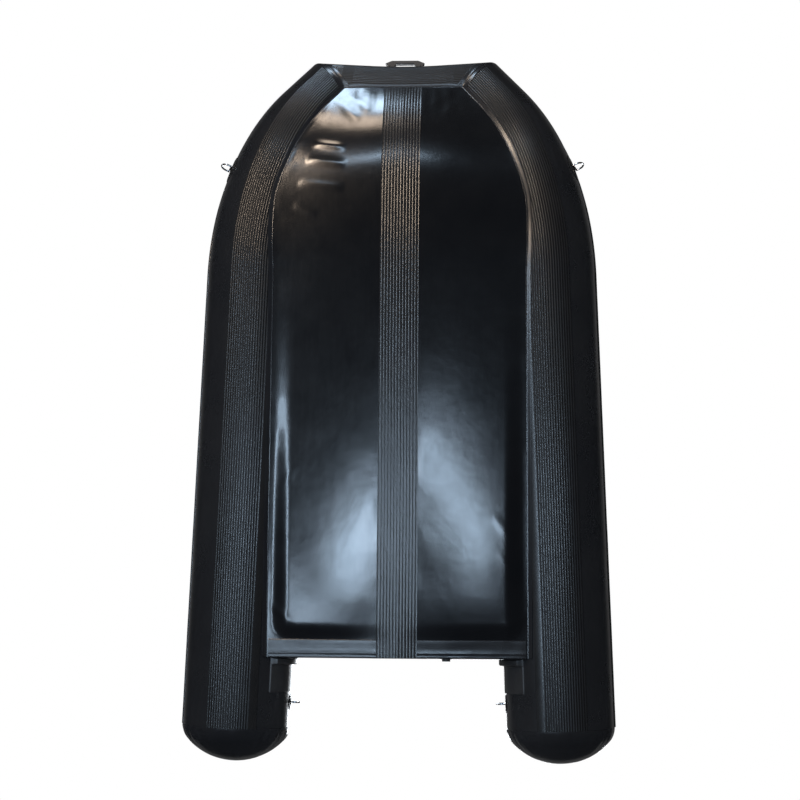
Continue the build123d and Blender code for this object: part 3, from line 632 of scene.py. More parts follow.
# %% Bow tube
forward_way = Vector((0, -1, 0))
bow_skin = ring("bow_tube_skin", bow_middle, forward_way, up, tube_radius, 144)
across_the_bow(bow_skin)
cap_ends(bow_skin)
close(bow_skin)
relief(bow_skin, lambda co: 0.0003 * rough(co, 0.15, 9) * step(0.24 - abs(co.x), 0, 0.08))
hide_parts("bow_tube")
print("bow tube", len(bow_skin.data.polygons), "faces")

# %% [markdown]
# ## Stern caps
# Each tube ends in a flattened dome cut from one disc of fabric. The disc's edge is longer than the tube's, so the
# spare cloth is gathered into small pleats round the knuckle. The ring is extruded aft and scaled down step by step.

# %% Stern caps
cap_length = 0.136
cap_rim = tube_radius + 0.003
knuckle = 0.080
knuckle_middle = cap_rim - knuckle
crown = (knuckle_middle ** 2 + cap_length ** 2 - knuckle ** 2) / (2 * (cap_length - knuckle))
lean = atan2(crown - cap_length, knuckle_middle)
profile = [(knuckle_middle + knuckle * cos(a * lean / 14), knuckle * sin(a * lean / 14)) for a in range(1, 15)]
span = pi / 2 - lean
for a in range(1, 17):
    swing = lean + span * a / 17
    profile.append((crown * cos(swing), cap_length - crown + crown * sin(swing)))

port_cap = ring("port_cap_skin", stern, outboard, up, cap_rim, 240)
radius, depth = cap_rim, 0.0
for next_radius, next_depth in profile:
    bpy.ops.mesh.extrude_region_move(TRANSFORM_OT_translate={"value": heading * (depth - next_depth)})
    shrink = next_radius / radius
    centre = stern - heading * next_depth
    bpy.ops.transform.resize(value=(shrink, shrink, shrink), center_override=centre)
    radius, depth = next_radius, next_depth
bpy.ops.object.mode_set(mode="OBJECT")
cap_ends(port_cap)
starboard_cap = twin(port_cap, "starboard_cap_skin")


def pleats(seed, side):
    """Small gathers round the knuckle, deepest at the seam's side, fading over the crown."""
    def height(co):
        away = Vector((co.x * side, co.y, co.z)) - stern
        back = -away.dot(heading)
        angle = atan2(away.dot(outboard), -away.z)
        spread = angle * 15 + 1.6 * rough(Vector((angle * 2, seed, 0)), 1.0)
        fold = sin(spread) + 0.6 * sin(2.3 * spread + seed) + 0.4 * rough(Vector((angle * 9, seed, 2)), 1.0)
        band = step(back, 0.004, 0.022) * (1 - step(back, 0.045, 0.115))
        dent = 0.0010 * rough(co, 0.07, seed) * step(back, 0.03, 0.08)
        return -0.0011 * band * (0.9 + fold * 0.8) + dent
    return height


for side, cap in ((1, port_cap), (-1, starboard_cap)):
    close(cap, angle=60)
    relief(cap, pleats(2.0 + side, side))
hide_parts("port_stern_cap")
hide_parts("starboard_stern_cap")
print("cap", len(port_cap.data.polygons), "faces")

# %% [markdown]
# ## Ribbed guards
# A band of ribbed rubber is glued under each tube and across the bow, where the boat is dragged over sand. The ribs
# run the whole length. The section is an arc of a finely divided circle whose points are scaled towards the tube's
# middle wherever a groove runs. The smooth edges stay. Then the band gets its thickness inwards.

# %% Guards
guard_low, guard_high = -29.0, 25.0
first_groove = -18.5
rib_pitch = 360 / 130
groove_count = 16
points_round = 780
cuts = {0: 0.0015, 1: 0.0010, 2: 0.0003}


def section_angle(co, middle, across, upward):
    """Degrees round a section's middle from straight down."""
    away = co - middle
    return degrees(atan2(away.dot(across), -away.dot(upward)))


def ribbed_arc(piece, middle, across, upward, turn):
    """Cuts the circle down to the guard's arc and presses its grooves in."""
    def angle_of(co):
        return section_angle(co, middle, across, upward) - turn

    pick(piece, lambda co: not guard_low - 0.1 <= angle_of(co) <= guard_high + 0.1)
    bpy.ops.mesh.delete(type="VERT")
    for off, depth in cuts.items():
        def at_cut(co):
            place = (angle_of(co) - first_groove) / rib_pitch
            nearest = round(place)
            steps_off = round(abs(place - nearest) * 6)
            return 0 <= nearest < groove_count and steps_off == off
        pick(piece, at_cut)
        shrink = 1 - depth / guard_radius
        bpy.ops.transform.resize(value=(shrink, shrink, shrink), center_override=middle)
    bpy.ops.mesh.select_all(action="SELECT")


def mark_grooves(piece, middle_of):
    """Puts the grooves' faces, which lie nearer the tube's middle than the crests, in a second slot, whose rubber
    paints shade in them.
    """
    for _ in range(2):
        piece.data.materials.append(None)
    for face in piece.data.polygons:
        deep = guard_radius - (face.center - middle_of(face.center)).length
        face.material_index = 1 if 0.0004 < deep < 0.0020 and abs(face.normal.y) < 0.9 else 0


def turned_circle(name, middle, across, upward, radius, points, turn):
    """A ring whose points start at an angle, so that the grooves fall on them."""
    spin = radians(turn)
    across_turned = across * cos(spin) + upward * sin(spin)
    upward_turned = upward * cos(spin) - across * sin(spin)
    return ring(name, middle, across_turned, upward_turned, radius, points)


def face_out(piece, middle_of):
    """Turns an open strip's faces away from the tube's middle."""
    total = sum(poly.normal.dot(poly.center - middle_of(poly.center)) for poly in piece.data.polygons)
    if total < 0:
        open_up(piece)
        bpy.ops.mesh.select_all(action="SELECT")
        bpy.ops.mesh.flip_normals()
        bpy.ops.object.mode_set(mode="OBJECT")
    return piece


def side_middle(co):
    """The tube's middle nearest to a point on either side."""
    side = 1 if co.x > 0 else -1
    along, _, _ = side_place(Vector((abs(co.x), co.y, co.z)))
    middle = side_frame(along)[0]
    return Vector((middle.x * side, middle.y, middle.z))


def bow_axis_point(co):
    """The bow tube's middle nearest to a point."""
    swing = asin(max(-1.0, min(1.0, co.x / bow_curve)))
    return Vector((co.x, bow_pivot.y + bow_curve * cos(swing), bow_middle.z))


def thicken(piece, thickness, middle_of):
    """Gives an open strip its thickness towards the tube's middle."""
    face_out(piece, middle_of)
    return modify(piece, "SOLIDIFY", thickness=thickness, offset=-1.0, use_even_offset=False)


guard_thickness = 0.0032
port_guard = turned_circle("port_guard_ribs", stern, outboard, up, guard_radius, points_round, first_groove)
ribbed_arc(port_guard, stern, outboard, up, 0.0)
up_the_side(port_guard, 50, 40)
print("guard arc", sum(1 for v in port_guard.data.vertices if abs((v.co - stern).dot(heading)) < 1e-4), "points")


def guard_height(seed, side):
    """Rubber that was laid by hand: it wanders a fraction of a millimetre."""
    def height(co):
        along, angle, _ = side_place(Vector((co.x * side, co.y, co.z)))
        calm = step(along, 0.0, 0.06) * step(2.72 - along, 0.0, 0.08)
        wave = 0.0003 * rough(co, 0.14, seed) + 0.00006 * rough(co, 0.05, seed + 4)
        return calm * (wave + seam_dip(along, angle, seed) * 0.8)
    return height


starboard_guard = twin(port_guard, "starboard_guard_ribs")
for side, guard in ((1, port_guard), (-1, starboard_guard)):
    face_out(guard, side_middle)
    mark_grooves(guard, side_middle)
    relief(guard, guard_height(11.0 + side, side))
    thicken(guard, guard_thickness, side_middle)
    close(guard, angle=40)
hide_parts("port_tube_guard")
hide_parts("starboard_tube_guard")

bow_guard = turned_circle(
    "bow_guard_ribs", bow_middle, forward_way, up, guard_radius, points_round, first_groove + bow_turn)
ribbed_arc(bow_guard, bow_middle, forward_way, up, bow_turn)
across_the_bow(bow_guard, 8, 8)
face_out(bow_guard, bow_axis_point)
mark_grooves(bow_guard, bow_axis_point)
relief(bow_guard, lambda co: 0.0003 * rough(co, 0.10, 21) * step(0.24 - abs(co.x), 0, 0.08))
thicken(bow_guard, guard_thickness, bow_axis_point)
close(bow_guard, angle=40)
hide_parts("bow_tube_guard")
print("guards", len(port_guard.data.polygons), "and", len(bow_guard.data.polygons), "faces")

# %% [markdown]
# ## The line where the bottom is glued
# The bottom's side edge is glued to the tubes along one seam: parallel to the keel on the straight, then closing in
# round the bend. Its front edge is glued under the bow tube. The side seam is worked out as a table, so that any row
# of the bottom can be laid between the keel and the seam.

# %% Seam
panel_half_width = 0.503
seam_angles = ((0.0, 22.8), (0.35, 12.5), (0.7, 15.5), (1.0, 19.0))
bow_seam_angle = 14.0
bow_seam_half = 0.26
corner_seam_angle = bow_turn - 19.0
keel_rise_length = 0.9
base_height = 0.0035
floor_bears = 0.44


def lerp_table(table, value):
    """Reads a table of points, straight between them."""
    for (low, *here), (high, *there) in zip(table, table[1:]):
        if value <= high:
            share = min(max((value - low) / (high - low), 0.0), 1.0)
            return [a + (b - a) * share for a, b in zip(here, there)]
    return list(table[-1][1:])


def seam_point(along):
    """The seam on the port tube at a distance from the stern seam."""
    if along <= straight_length:
        axis_x = tube_half_spacing - along * tan(toe_in)
        angle = asin((axis_x - panel_half_width) * cos(toe_in) / guard_radius)
        return Vector((panel_half_width, stern.y - along, guard_radius - guard_radius * cos(angle)))
    share = min((along - straight_length) / (bend_radius * bend_turn), 1.0)
    return on_side(along, -lerp_table(seam_angles, share)[0])


def bow_seam_turn(x):
    """The front seam's angle round the bow tube."""
    share = min(abs(x) / bow_seam_half, 1.0)
    return bow_seam_angle + (corner_seam_angle - bow_seam_angle) * share * share


def bow_seam_point(x):
    """The bottom's front edge under the bow tube."""
    middle = bow_axis_point(Vector((x, 0, 0)))
    angle = radians(bow_seam_turn(x))
    return middle + (forward_way * sin(angle) - up * cos(angle)) * guard_radius


seam_points = [seam_point(0.2 + count * 0.0105) for count in range(260)]
seam_table = [(-point.y, point.x, point.z) for point in seam_points]
row_pitch = 0.002
seam_rows = [lerp_table(seam_table, row * row_pitch - transom_aft - 0.01) for row in range(1300)]


def eased(rows, reach):
    """The same rows with their corners eased: each is the mean of its neighbours."""
    made = []
    for place in range(len(rows)):
        near = rows[max(place - reach, 0):place + reach + 1]
        made.append([sum(column) / len(near) for column in zip(*near)])
    return made


ease = eased(eased(seam_rows, 45), 45)
bow_seam = bow_seam_point(0)
print("bow seam", [round(v, 4) for v in bow_seam], "bottom corner", [round(v, 3) for v in bow_seam_point(0.24)])


def seam_at(y, rows=seam_rows):
    """Half width and height of the seam at a Y."""
    place = min(max((transom_aft + 0.01 - y) / row_pitch, 0.0), len(rows) - 1.001)
    row = int(place)
    (x, z), (next_x, next_z) = rows[row], rows[row + 1]
    return x + (next_x - x) * (place - row), z + (next_z - z) * (place - row)


def keel_at(y):
    """The keel line's height at a Y."""
    share = max(0.0, 1 - (y - bow_seam.y) / keel_rise_length)
    return base_height + (bow_seam.z - base_height) * share ** 3

# %% [markdown]
# ## The bottom
# The bottom is a broad sheet of the same fabric, stretched in a shallow V between the keel and the two tubes and
# drawn up to the bow. Stretched cloth is smooth in its middle and restless near its edges: it puckers along the glued
# seam, rucks where the bow's curve gathers it, and swells a little between its lines of hold. A fine grid is laid
# between keel and seam, and every one of those is pressed in by its place.

# %% Bottom
def plain_row(share, forwards):
    """The V between keel and seam: share runs from -1 at the starboard seam to 1 at the port one."""
    x = share * panel_half_width
    for _ in range(2):
        front = bow_seam_point(x).y
        y = transom_aft + (front - transom_aft) * forwards
        half, seam_z = seam_at(y)
        x = share * half
    keel = keel_at(y)
    across = abs(share)
    eased_z = seam_at(y, ease)[1]
    bearing = over_floor(abs(x), y, half) * (1 - step(forwards, 0.20, 0.66))
    flatter = across * (1 - floor_bears * bearing)
    return Vector((x, y, keel + (eased_z - keel) * flatter + (seam_z - eased_z) * across ** 6))


def over_floor(x, y, half):
    """1 where the air floor bears on the sheet, 0 past the floor's rounded edge."""
    inside = half - 0.040 - x
    ahead = 1.010 - y
    corner_radius = 0.055
    if inside < corner_radius and ahead < corner_radius:
        inside = corner_radius - hypot(corner_radius - inside, corner_radius - ahead)
    else:
        inside = min(inside, ahead)
    return step(inside, -0.026, 0.048)


front_gaps = []
for count in range(101):
    edge = plain_row(count / 100, 1.0)
    front_gaps.append(bow_seam_point(edge.x).z - edge.z)
print("front edge drawn by", round(min(front_gaps), 4), "to", round(max(front_gaps), 4))


def row_point(share, forwards):
    """The same V with its front edge drawn to the line where it is glued under the bow tube."""
    point = plain_row(share, forwards)
    place = min(abs(share), 0.9999) * 100
    low = int(place)
    gap = front_gaps[low] + (front_gaps[low + 1] - front_gaps[low]) * (place - low)
    point.z += gap * step(forwards, 0.66, 1.0)
    return point


def swell(share, forwards):
    """The sheet swells down between the keel and the seam, most where it is widest."""
    across = abs(share)
    pillow = (across * (1 - across) * 4) ** 1.2
    return pillow * (0.0035 * step(forwards, 0.0, 0.10) * (1 - step(forwards, 0.75, 0.98)))


def ruck(point, start, end, width, height):
    """One ridge of cloth from a start to an end, which fades at both."""
    line = end - start
    along = (point - start).dot(line) / line.length_squared
    away = (point - start - line * along).length
    fade = max(0.0, 1 - abs(along * 2 - 1) ** 3) if 0 < along < 1 else 0.0
    return height * fade * exp(-(away / width) ** 2)


rucks = (
    ((-0.365, -0.985), (-0.225, -0.960), 0.016, 0.0036),
    ((-0.385, -0.905), (-0.220, -0.880), 0.018, 0.0034),
    ((-0.415, -0.795), (-0.225, -0.772), 0.017, 0.0026),
    ((-0.430, -0.700), (-0.330, -0.655), 0.016, 0.0016),
    ((-0.285, -1.235), (-0.175, -1.090), 0.022, 0.0014),
    ((-0.235, -1.255), (-0.130, -1.150), 0.020, 0.0010),
    ((0.250, -1.245), (0.165, -1.110), 0.020, 0.0012),
    ((0.215, -1.265), (0.110, -1.180), 0.018, 0.0009),
    ((0.450, 0.655), (0.370, 0.540), 0.016, 0.0007),
    ((0.455, 0.780), (0.385, 0.690), 0.014, 0.0006),
    ((-0.450, 0.430), (-0.390, 0.350), 0.014, 0.0006),
    ((-0.495, 0.890), (-0.400, 0.965), 0.014, 0.0016),
    ((0.495, 0.930), (0.405, 0.985), 0.014, 0.0016),
)
rucks = [(Vector((*a, 0)), Vector((*b, 0)), width, height) for a, b, width, height in rucks]


def cloth(point, share, forwards):
    """All the restlessness of the sheet, as a height below its smooth shape."""
    flat = Vector((point.x, point.y, 0))
    edge = 1 - abs(share)
    side = 1 if share > 0 else -1
    along = point.y * 9 + side * 4
    held = step(edge, 0.0, 0.035)
    where = 0.35 + 0.65 * step(rough(Vector((along * 0.21, side * 6.0, 4)), 1.0), -0.1, 0.45)
    pucker = rough(Vector((along * 1.5, side * 3.0, 0)), 1.0) * 0.0012 * where * held
    pucker *= 1 - step(edge, 0.03, 0.14)
    tug = rough(Vector((along * 0.42, side * 9.0, edge * 2)), 1.0) * 0.0013 * where * held
    tug *= 1 - step(edge, 0.1, 0.55)
    by_keel = rough(Vector((point.y * 7, side * 5.0, 1)), 1.0) * 0.0009
    by_keel *= step(abs(share), 0.14, 0.2) * (1 - step(abs(share), 0.2, 0.42))
    wander = 0.0010 * rough(flat, 0.40, 2.0) + 0.0003 * rough(flat, 0.13, 7.0)
    front = 1 - forwards
    gather = rough(Vector((point.x * 24, 3.0, front * 3)), 1.0) * 0.0011
    gather *= step(front, 0.0, 0.012) * (1 - step(front, 0.01, 0.10))
    calm = step(edge, 0.0, 0.05) * step(abs(share), 0.13, 0.22)
    calm *= step(front, 0.0, 0.02) * step(forwards, 0.0, 0.03)
    folds = sum(ruck(flat, *each) for each in rucks)
    return pucker + tug + by_keel + gather + calm * (wander + folds)


def bottom_point(share, forwards, proud=0.0):
    """A point of the finished bottom's underside."""
    point = row_point(share, forwards)
    sideways = row_point(min(share + 0.004, 1.0), forwards) - row_point(max(share - 0.004, -1.0), forwards)
    ahead = row_point(share, min(forwards + 0.003, 1.0)) - row_point(share, max(forwards - 0.003, 0.0))
    down = sideways.cross(ahead).normalized()
    if down.z > 0:
        down.negate()
    low = swell(share, forwards) + cloth(point, share, forwards)
    spare = max(point.z - 0.0006, 0.0005)
    if low > 0:
        low = spare * (1 - exp(-low / spare))
    return point + down * (low + proud)


deselect()
bpy.ops.mesh.primitive_grid_add(x_subdivisions=132, y_subdivisions=250, size=2)
sheet = bpy.context.object
sheet.name = "bottom_sheet"
for vert in sheet.data.vertices:
    share, forwards = vert.co.x, (1 - vert.co.y) / 2
    reach = 1 + 0.02 * step(abs(share), 0.97, 1.0)
    edge = bottom_point(share, forwards)
    vert.co = Vector((edge.x * reach, edge.y, edge.z))
modify(sheet, "SOLIDIFY", thickness=0.002, offset=1.0)
close(sheet)
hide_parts("hull_bottom")


def path_length(points):
    return sum((b - a).length for a, b in zip(points, points[1:]))


girth = max(2 * path_length([bottom_point(k / 40, f) for k in range(41)]) for f in (0.1, 0.3, 0.5))
length = path_length([bottom_point(0, k / 60) for k in range(61)])
print("from seam to seam", round(girth, 3), "and along the keel", round(length, 3))
print("bottom", len(sheet.data.polygons), "faces, lowest", round(min(v.co.z for v in sheet.data.vertices), 4))

# %% [markdown]
# ## Keel guard
# A wide ribbed strip covers the keel's fold from the transom to the bow. Its section has a point at each side of
# every groove, and its rows lie on the bottom's own keel line.

# %% Keel guard
keel_half = 0.078
keel_ribs = 12
keel_pitch = (2 * keel_half - 0.010) / keel_ribs
across_keel = [-keel_half]
for rib in range(keel_ribs + 1):
    middle = 0.005 - keel_half + rib * keel_pitch
    across_keel += [middle + off for off in (-0.0032, -0.0016, 0.0, 0.0016, 0.0032)]
    if rib < keel_ribs:
        across_keel += [middle + keel_pitch * share for share in (0.36, 0.5, 0.64)]
across_keel.append(keel_half)


def keel_groove(x):
    """How deep the groove is at a place across the strip; the ribs are slightly rounded."""
    place = (x - 0.005 + keel_half) / keel_pitch
    off = (place - round(place)) * keel_pitch
    groove = 0.0008 * (1 - step(abs(off), 0.0001, 0.0034))
    return groove + 0.0003 * (1 - abs(2 * (place % 1) - 1)) * -1


deselect()
rows = 200
bpy.ops.mesh.primitive_grid_add(x_subdivisions=len(across_keel) - 1, y_subdivisions=rows, size=2)
keel_strip = bpy.context.object
keel_strip.name = "keel_strip"
for vert in keel_strip.data.vertices:
    x = across_keel[round((vert.co.x + 1) / 2 * (len(across_keel) - 1))]
    forwards = (1 - vert.co.y) / 2 * 0.997
    half = seam_at(transom_aft + (bow_seam.y - transom_aft) * forwards)[0]
    wobble = 0.00008 * rough(Vector((x, forwards * 2, 0)), 0.10, 4.0)
    vert.co = bottom_point(x / half, forwards, max(0.0030 - keel_groove(x) + wobble, 0.0006))
modify(keel_strip, "SOLIDIFY", thickness=guard_thickness, offset=1.0)
close(keel_strip, angle=40)
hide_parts("keel_guard")
print("keel guard", len(keel_strip.data.polygons), "faces")

# %% [markdown]
# ## Strips laid by hand
# Tapes, flanges and rubbing strakes are all long strips with one section. Each could be an extruded profile, but their
# edges follow seams that aren't the tube's own line. So a grid primitive is laid out row by row, each row at a place on
# the tube and each column at a point of the section. A solidify modifier gives the thin ones a back.

# %% Rows and sections
bend_end_along = straight_length + bend_radius * bend_turn


def lay_strip(name, rows, columns, place):
    """A grid laid out by row and column numbers."""
    deselect()
    bpy.ops.mesh.primitive_grid_add(x_subdivisions=columns, y_subdivisions=rows, size=2)
    piece = bpy.context.object
    piece.name = name
    for vert in piece.data.vertices:
        vert.co = place(round((vert.co.y + 1) / 2 * rows), round((vert.co.x + 1) / 2 * columns))
    return piece


def side_rows(straight_steps, bend_steps, shoulder_steps, start=0.0):
    """Places up the side tube: metres from the stern seam, then shares of the way to the mitre."""
    rows = [(start + (straight_length - start) * k / straight_steps, 0.0) for k in range(straight_steps)]
    rows += [(straight_length + bend_radius * bend_turn * k / bend_steps, 0.0) for k in range(bend_steps)]
    return rows + [(bend_end_along, k / shoulder_steps) for k in range(shoulder_steps + 1)]


def side_spot(row, angle, radius):
    """A point on a strip on the port tube."""
    point = on_side(row[0], angle, radius)
    if row[1]:
        point += end_heading * ((corner - point).dot(mitre_normal) / end_heading.dot(mitre_normal) * row[1])
    return point


def bow_spot(share, angle, radius):
    """A point on a strip on the bow tube: share runs from 0 in the middle to 1 at the port mitre."""
    turn = radians(angle)
    low = Vector((0, -sin(turn), -cos(turn))) * radius
    swing = min(share / 0.5, 1.0) * bow_sag
    spin = Quaternion((0, 0, 1), -swing)
    centre = Vector((0, bow_pivot.y, bow_middle.z))
    point = centre + spin @ (Vector((0, bow_curve, 0)) + low)
    if share > 0.5:
        leave = -bow_leave
        reach = (corner - point).dot(mitre_normal) / leave.dot(mitre_normal)
        point += leave * (reach * (share - 0.5) / 0.5)
    return point


print("the side's strips reach the mitre after", round(bend_end_along, 3), "m and a shoulder")

# %% [markdown]
# ## Rubbing strakes
# A thick moulded strip runs round the widest line of the boat. It has two thin flanges that are glued down, and a
# round-shouldered bead with a groove along each side of it.

# %% Rubbing strakes
strake_middle = 91.0
strake_section = [
    (-6.0, 0.2), (-5.9, 2.0), (-5.6, 2.7), (-4.7, 3.0), (-4.2, 2.6), (-4.0, 4.2), (-3.6, 6.2), (-2.9, 7.3),
    (-2.0, 7.8), (-1.2, 7.6), (-0.8, 6.8), (0.0, 6.6), (0.8, 6.8), (1.2, 7.6), (2.0, 7.8), (2.9, 7.3), (3.6, 6.2),
    (4.0, 4.2), (4.2, 2.6), (4.7, 3.0), (5.6, 2.7), (5.9, 2.0), (6.0, 0.2),
]
rows = side_rows(46, 40, 8)


def strake_spot(row, column):
    turn, height = strake_section[column]
    place = rows[row]
    wave = 0.0003 * rough(Vector((place[0], turn * 0.01, place[1])), 0.08, 31.0)
    return side_spot(place, strake_middle + turn, tube_radius + height * 0.001 + wave)


port_strake = lay_strip("port_strake_bead", len(rows) - 1, len(strake_section) - 1, strake_spot)
thicken(port_strake, 0.0015, side_middle)
starboard_strake = twin(port_strake, "starboard_strake_bead")
bow_strake_turn = bow_turn_of(strake_middle) - strake_middle
bow_strake_rows = 20


def bow_strake_spot(row, column):
    turn, height = strake_section[column]
    return bow_spot(row / bow_strake_rows, strake_middle + bow_strake_turn + turn, tube_radius + height * 0.001)


bow_strake = lay_strip("bow_strake_bead", bow_strake_rows, len(strake_section) - 1, bow_strake_spot)
thicken(bow_strake, 0.0015, bow_axis_point)
mirrored(bow_strake)
for piece, node in (
    (port_strake, "port_rub_strake"), (starboard_strake, "starboard_rub_strake"), (bow_strake, "bow_rub_strake"),
):
    close(piece, angle=40)
    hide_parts(node)
print("strakes", len(port_strake.data.polygons), "and", len(bow_strake.data.polygons), "faces")

# %% [markdown]
# ## The flange of the bottom's seam
# Where the bottom meets a tube, its cut edge is turned out flat on the guard and sealed. The flange catches the light
# along its inner fold, and a little glue has squeezed out of it in beads.

# %% Seam flanges
flange_section = [
    (-4.0, 0.1), (-2.6, 1.2), (-1.4, 2.2), (-0.2, 2.5), (1.0, 2.1), (2.2, 1.4), (4.0, 1.15), (10.0, 1.1), (16.0, 1.1),
    (18.6, 1.0), (19.4, 0.1),
]
flange_rows = [(0.270 + 0.004 + (straight_length - 0.274) * k / 110, 0.0) for k in range(110)]
flange_rows += [(straight_length + bend_radius * bend_turn * k / 60, 0.0) for k in range(60)]
flange_rows += [(bend_end_along, k / 8) for k in range(9)]


def seam_turn(along):
    """The seam's angle round the port tube."""
    share = (along - straight_length) / (bend_radius * bend_turn)
    if share > 0:
        return -lerp_table(seam_angles, min(share, 1.0))[0]
    return side_place(seam_point(along))[1]


def eased_seam_turn(along):
    return sum(seam_turn(max(along + step_off * 0.012, 0.26)) for step_off in range(-5, 6)) / 11


def flange_spot(row, column):
    across, height = flange_section[column]
    place = flange_rows[row]
    station = Vector((place[0] + place[1] * 0.14, 0, 0))
    wander = 0.0008 * rough(station, 0.06, 41.0)
    if column in (1, 2, 3, 4, 5):
        bead = max(0.0, rough(station, 0.011, 43.0)) + 0.6 * max(0.0, rough(station, 0.03, 44.0))
        height += 0.9 * bead * hill(column, 3, 3)
    turn = eased_seam_turn(place[0]) + degrees((across * 0.001 + wander) / guard_radius)
    return side_spot(place, turn, guard_radius + height * 0.001)


port_flange = lay_strip("port_seam_flange", len(flange_rows) - 1, len(flange_section) - 1, flange_spot)
thicken(port_flange, 0.0012, side_middle)
starboard_flange = twin(port_flange, "starboard_seam_flange")
bow_flange_rows = 30
bow_flange_half = 0.245
bow_flange_section = [
    (-5.0, 0.1), (-3.4, 1.0), (-1.6, 2.0), (0.0, 2.3), (1.4, 1.7), (3.0, 1.2), (9.0, 1.1), (14.0, 1.1), (15.4, 0.9),
    (16.0, 0.1),
]


def bow_flange_spot(row, column):
    across, height = bow_flange_section[column]
    share = row / bow_flange_rows
    x = share * bow_flange_half
    wander = 0.0006 * rough(Vector((x, 0, 0)), 0.05, 45.0)
    angle = bow_seam_turn(x) + degrees((across * 0.001 + wander) / guard_radius)
    return bow_spot(share, angle, guard_radius + height * 0.001)


bow_flange = lay_strip("bow_seam_flange", bow_flange_rows, len(bow_flange_section) - 1, bow_flange_spot)
thicken(bow_flange, 0.0012, bow_axis_point)
mirrored(bow_flange)
for piece in (port_flange, starboard_flange, bow_flange):
    close(piece, angle=40)
print("flanges", len(port_flange.data.polygons), "and", len(bow_flange.data.polygons), "faces")

# %% [markdown]
# ## Corner tapes
# The joint of the ribbed guards at each bow corner is covered by a smooth tape folded over the mitre. The ribs print
# through it faintly and its two edges stand up a little.

# %% Corner tapes
tape_low, tape_turn, tape_rows = -16.0, 41.0, 60
tape_across = [-26.0, -25.2, -23.0, -18.0, -12.0, -6.0, -2.5, 0.0, 2.5, 6.0, 12.0, 18.0, 23.0, 25.2, 26.0]
tape_rise = [0.1, 1.3, 1.45, 1.2, 1.0, 1.1, 1.5, 1.9, 1.5, 1.1, 1.0, 1.2, 1.45, 1.3, 0.1]


def tape_spot(row, column):
    """A point of the tape: columns before the middle one lie on the bow tube."""
    angle = tape_low + tape_turn * row / tape_rows
    radius = guard_radius + tape_rise[column] * 0.001 - 0.0002 * (row % 3 == 0)
    way = tape_across[column] * 0.001
    point = side_spot((bend_end_along, 1.0), angle, radius)
    return point + (bow_leave * -way if way < 0 else end_heading * -way)


corner_tape = lay_strip("corner_tape_fold", tape_rows, len(tape_across) - 1, tape_spot)
thicken(corner_tape, 0.0012, lambda co: corner)
mirrored(corner_tape)
close(corner_tape, angle=50)
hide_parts("corner_tapes")
print("corner tapes", len(corner_tape.data.polygons), "faces")

# %% [markdown]
# ## Stern tape
# A wide tape seals the bottom's aft edge and turns up over the transom's foot as a round, glossy lip.

# %% Stern tape
stern_rows, stern_reach = 110, 0.985
lip_radius, lip_rise = 0.0042, 0.030
lip = [
    (-68.0, 0.1), (-67.0, 1.5), (-64.0, 1.9), (-50.0, 1.7), (-36.0, 1.8), (-22.0, 1.7), (-18.0, 2.4), (-15.0, 2.5),
    (-12.0, 1.8), (-6.0, 1.9), (-3.0, 2.3),
]


def stern_tape_spot(row, column):
    share = 2 * stern_reach * row / stern_rows - stern_reach
    back_y, height = lip[min(column, len(lip) - 1)]
    forwards = max(-back_y * 0.001, 0.002) / (transom_aft - bow_seam.y)
    wobble = 0.35 * rough(Vector((share * 4, back_y * 0.02, 0)), 0.3, 51.0)
    base = bottom_point(share, forwards, (height + wobble) * 0.001)
    if column < len(lip):
        return base
    turn = (column - len(lip) + 1) / 5 * pi / 2
    round_lip = Vector((0, sin(turn), 1 - cos(turn))) * lip_radius
    rise = lip_rise * max(0, column - len(lip) - 4)
    return Vector((base.x, transom_aft - 0.0012, base.z)) + round_lip + Vector((0, 0, rise))


stern_strip = lay_strip("stern_tape_lip", stern_rows, len(lip) + 5, stern_tape_spot)
thicken(stern_strip, 0.0014, lambda co: Vector((co.x, co.y - 0.05, co.z + 0.2)))
close(stern_strip, angle=50)
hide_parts("stern_tape")
print("stern tape", len(stern_strip.data.polygons), "faces")

# %% [markdown]
# ## Ring patches
# Each steel ring is held by a round moulded patch with ribs in circles, bonded to the tube. A grid is wound into a
# disc: its columns go round and its rows go out, and every point is wrapped on the tube.

# %% Ring patches
def wound_patch(name, radius, spot, rings, height):
    """A disc with ribbed circles, wrapped on a tube by a function of two lengths on it and a height."""
    deselect()
    bpy.ops.mesh.primitive_grid_add(x_subdivisions=56, y_subdivisions=rings, size=2)
    piece = bpy.context.object
    piece.name = name
    for vert in piece.data.vertices:
        out = (vert.co.y + 1) / 2
        turn = (vert.co.x + 1) * pi
        vert.co = spot(radius * out * cos(turn), radius * out * sin(turn), height(out))
    modify(piece, "SOLIDIFY", thickness=0.002, offset=-1.0)
    return piece


def ribbed_height(out):
    """The patch's height in metres: a boss in the middle, four ribs and a thin edge."""
    boss = 0.0012 * (1 - step(out, 0.20, 0.30))
    ribs = 0.0010 * max(0.0, sin((out - 0.30) * 2 * pi / 0.145))
    ribs *= step(out, 0.28, 0.34) * (1 - step(out, 0.86, 0.90))
    edge = 0.0026 * (1 - step(out, 0.93, 1.0))
    return 0.0004 + edge + boss + ribs


def tube_wrap(along, angle):
    """Wraps lengths along and round the port tube about a place on it."""
    def spot(ahead, round_it, height):
        return on_side(along + ahead, angle + degrees(round_it / tube_radius), tube_radius + height)
    return spot


bow_ring_along = straight_length + 0.5 * bend_radius * bend_turn
for name, node, radius, along, angle in (
    ("bow_ring_disc", "bow_ring_patches", 0.050, bow_ring_along, 70.0),
    ("stern_ring_disc", "stern_ring_patches", 0.036, 0.097, -92.0),
):
    disc = wound_patch(name, radius, tube_wrap(along, angle), 44, ribbed_height)
    mirrored(disc)
    close(disc, angle=60)
    dress(guard_rubber, disc)
    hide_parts(node)
    print(name, len(disc.data.polygons), "faces")

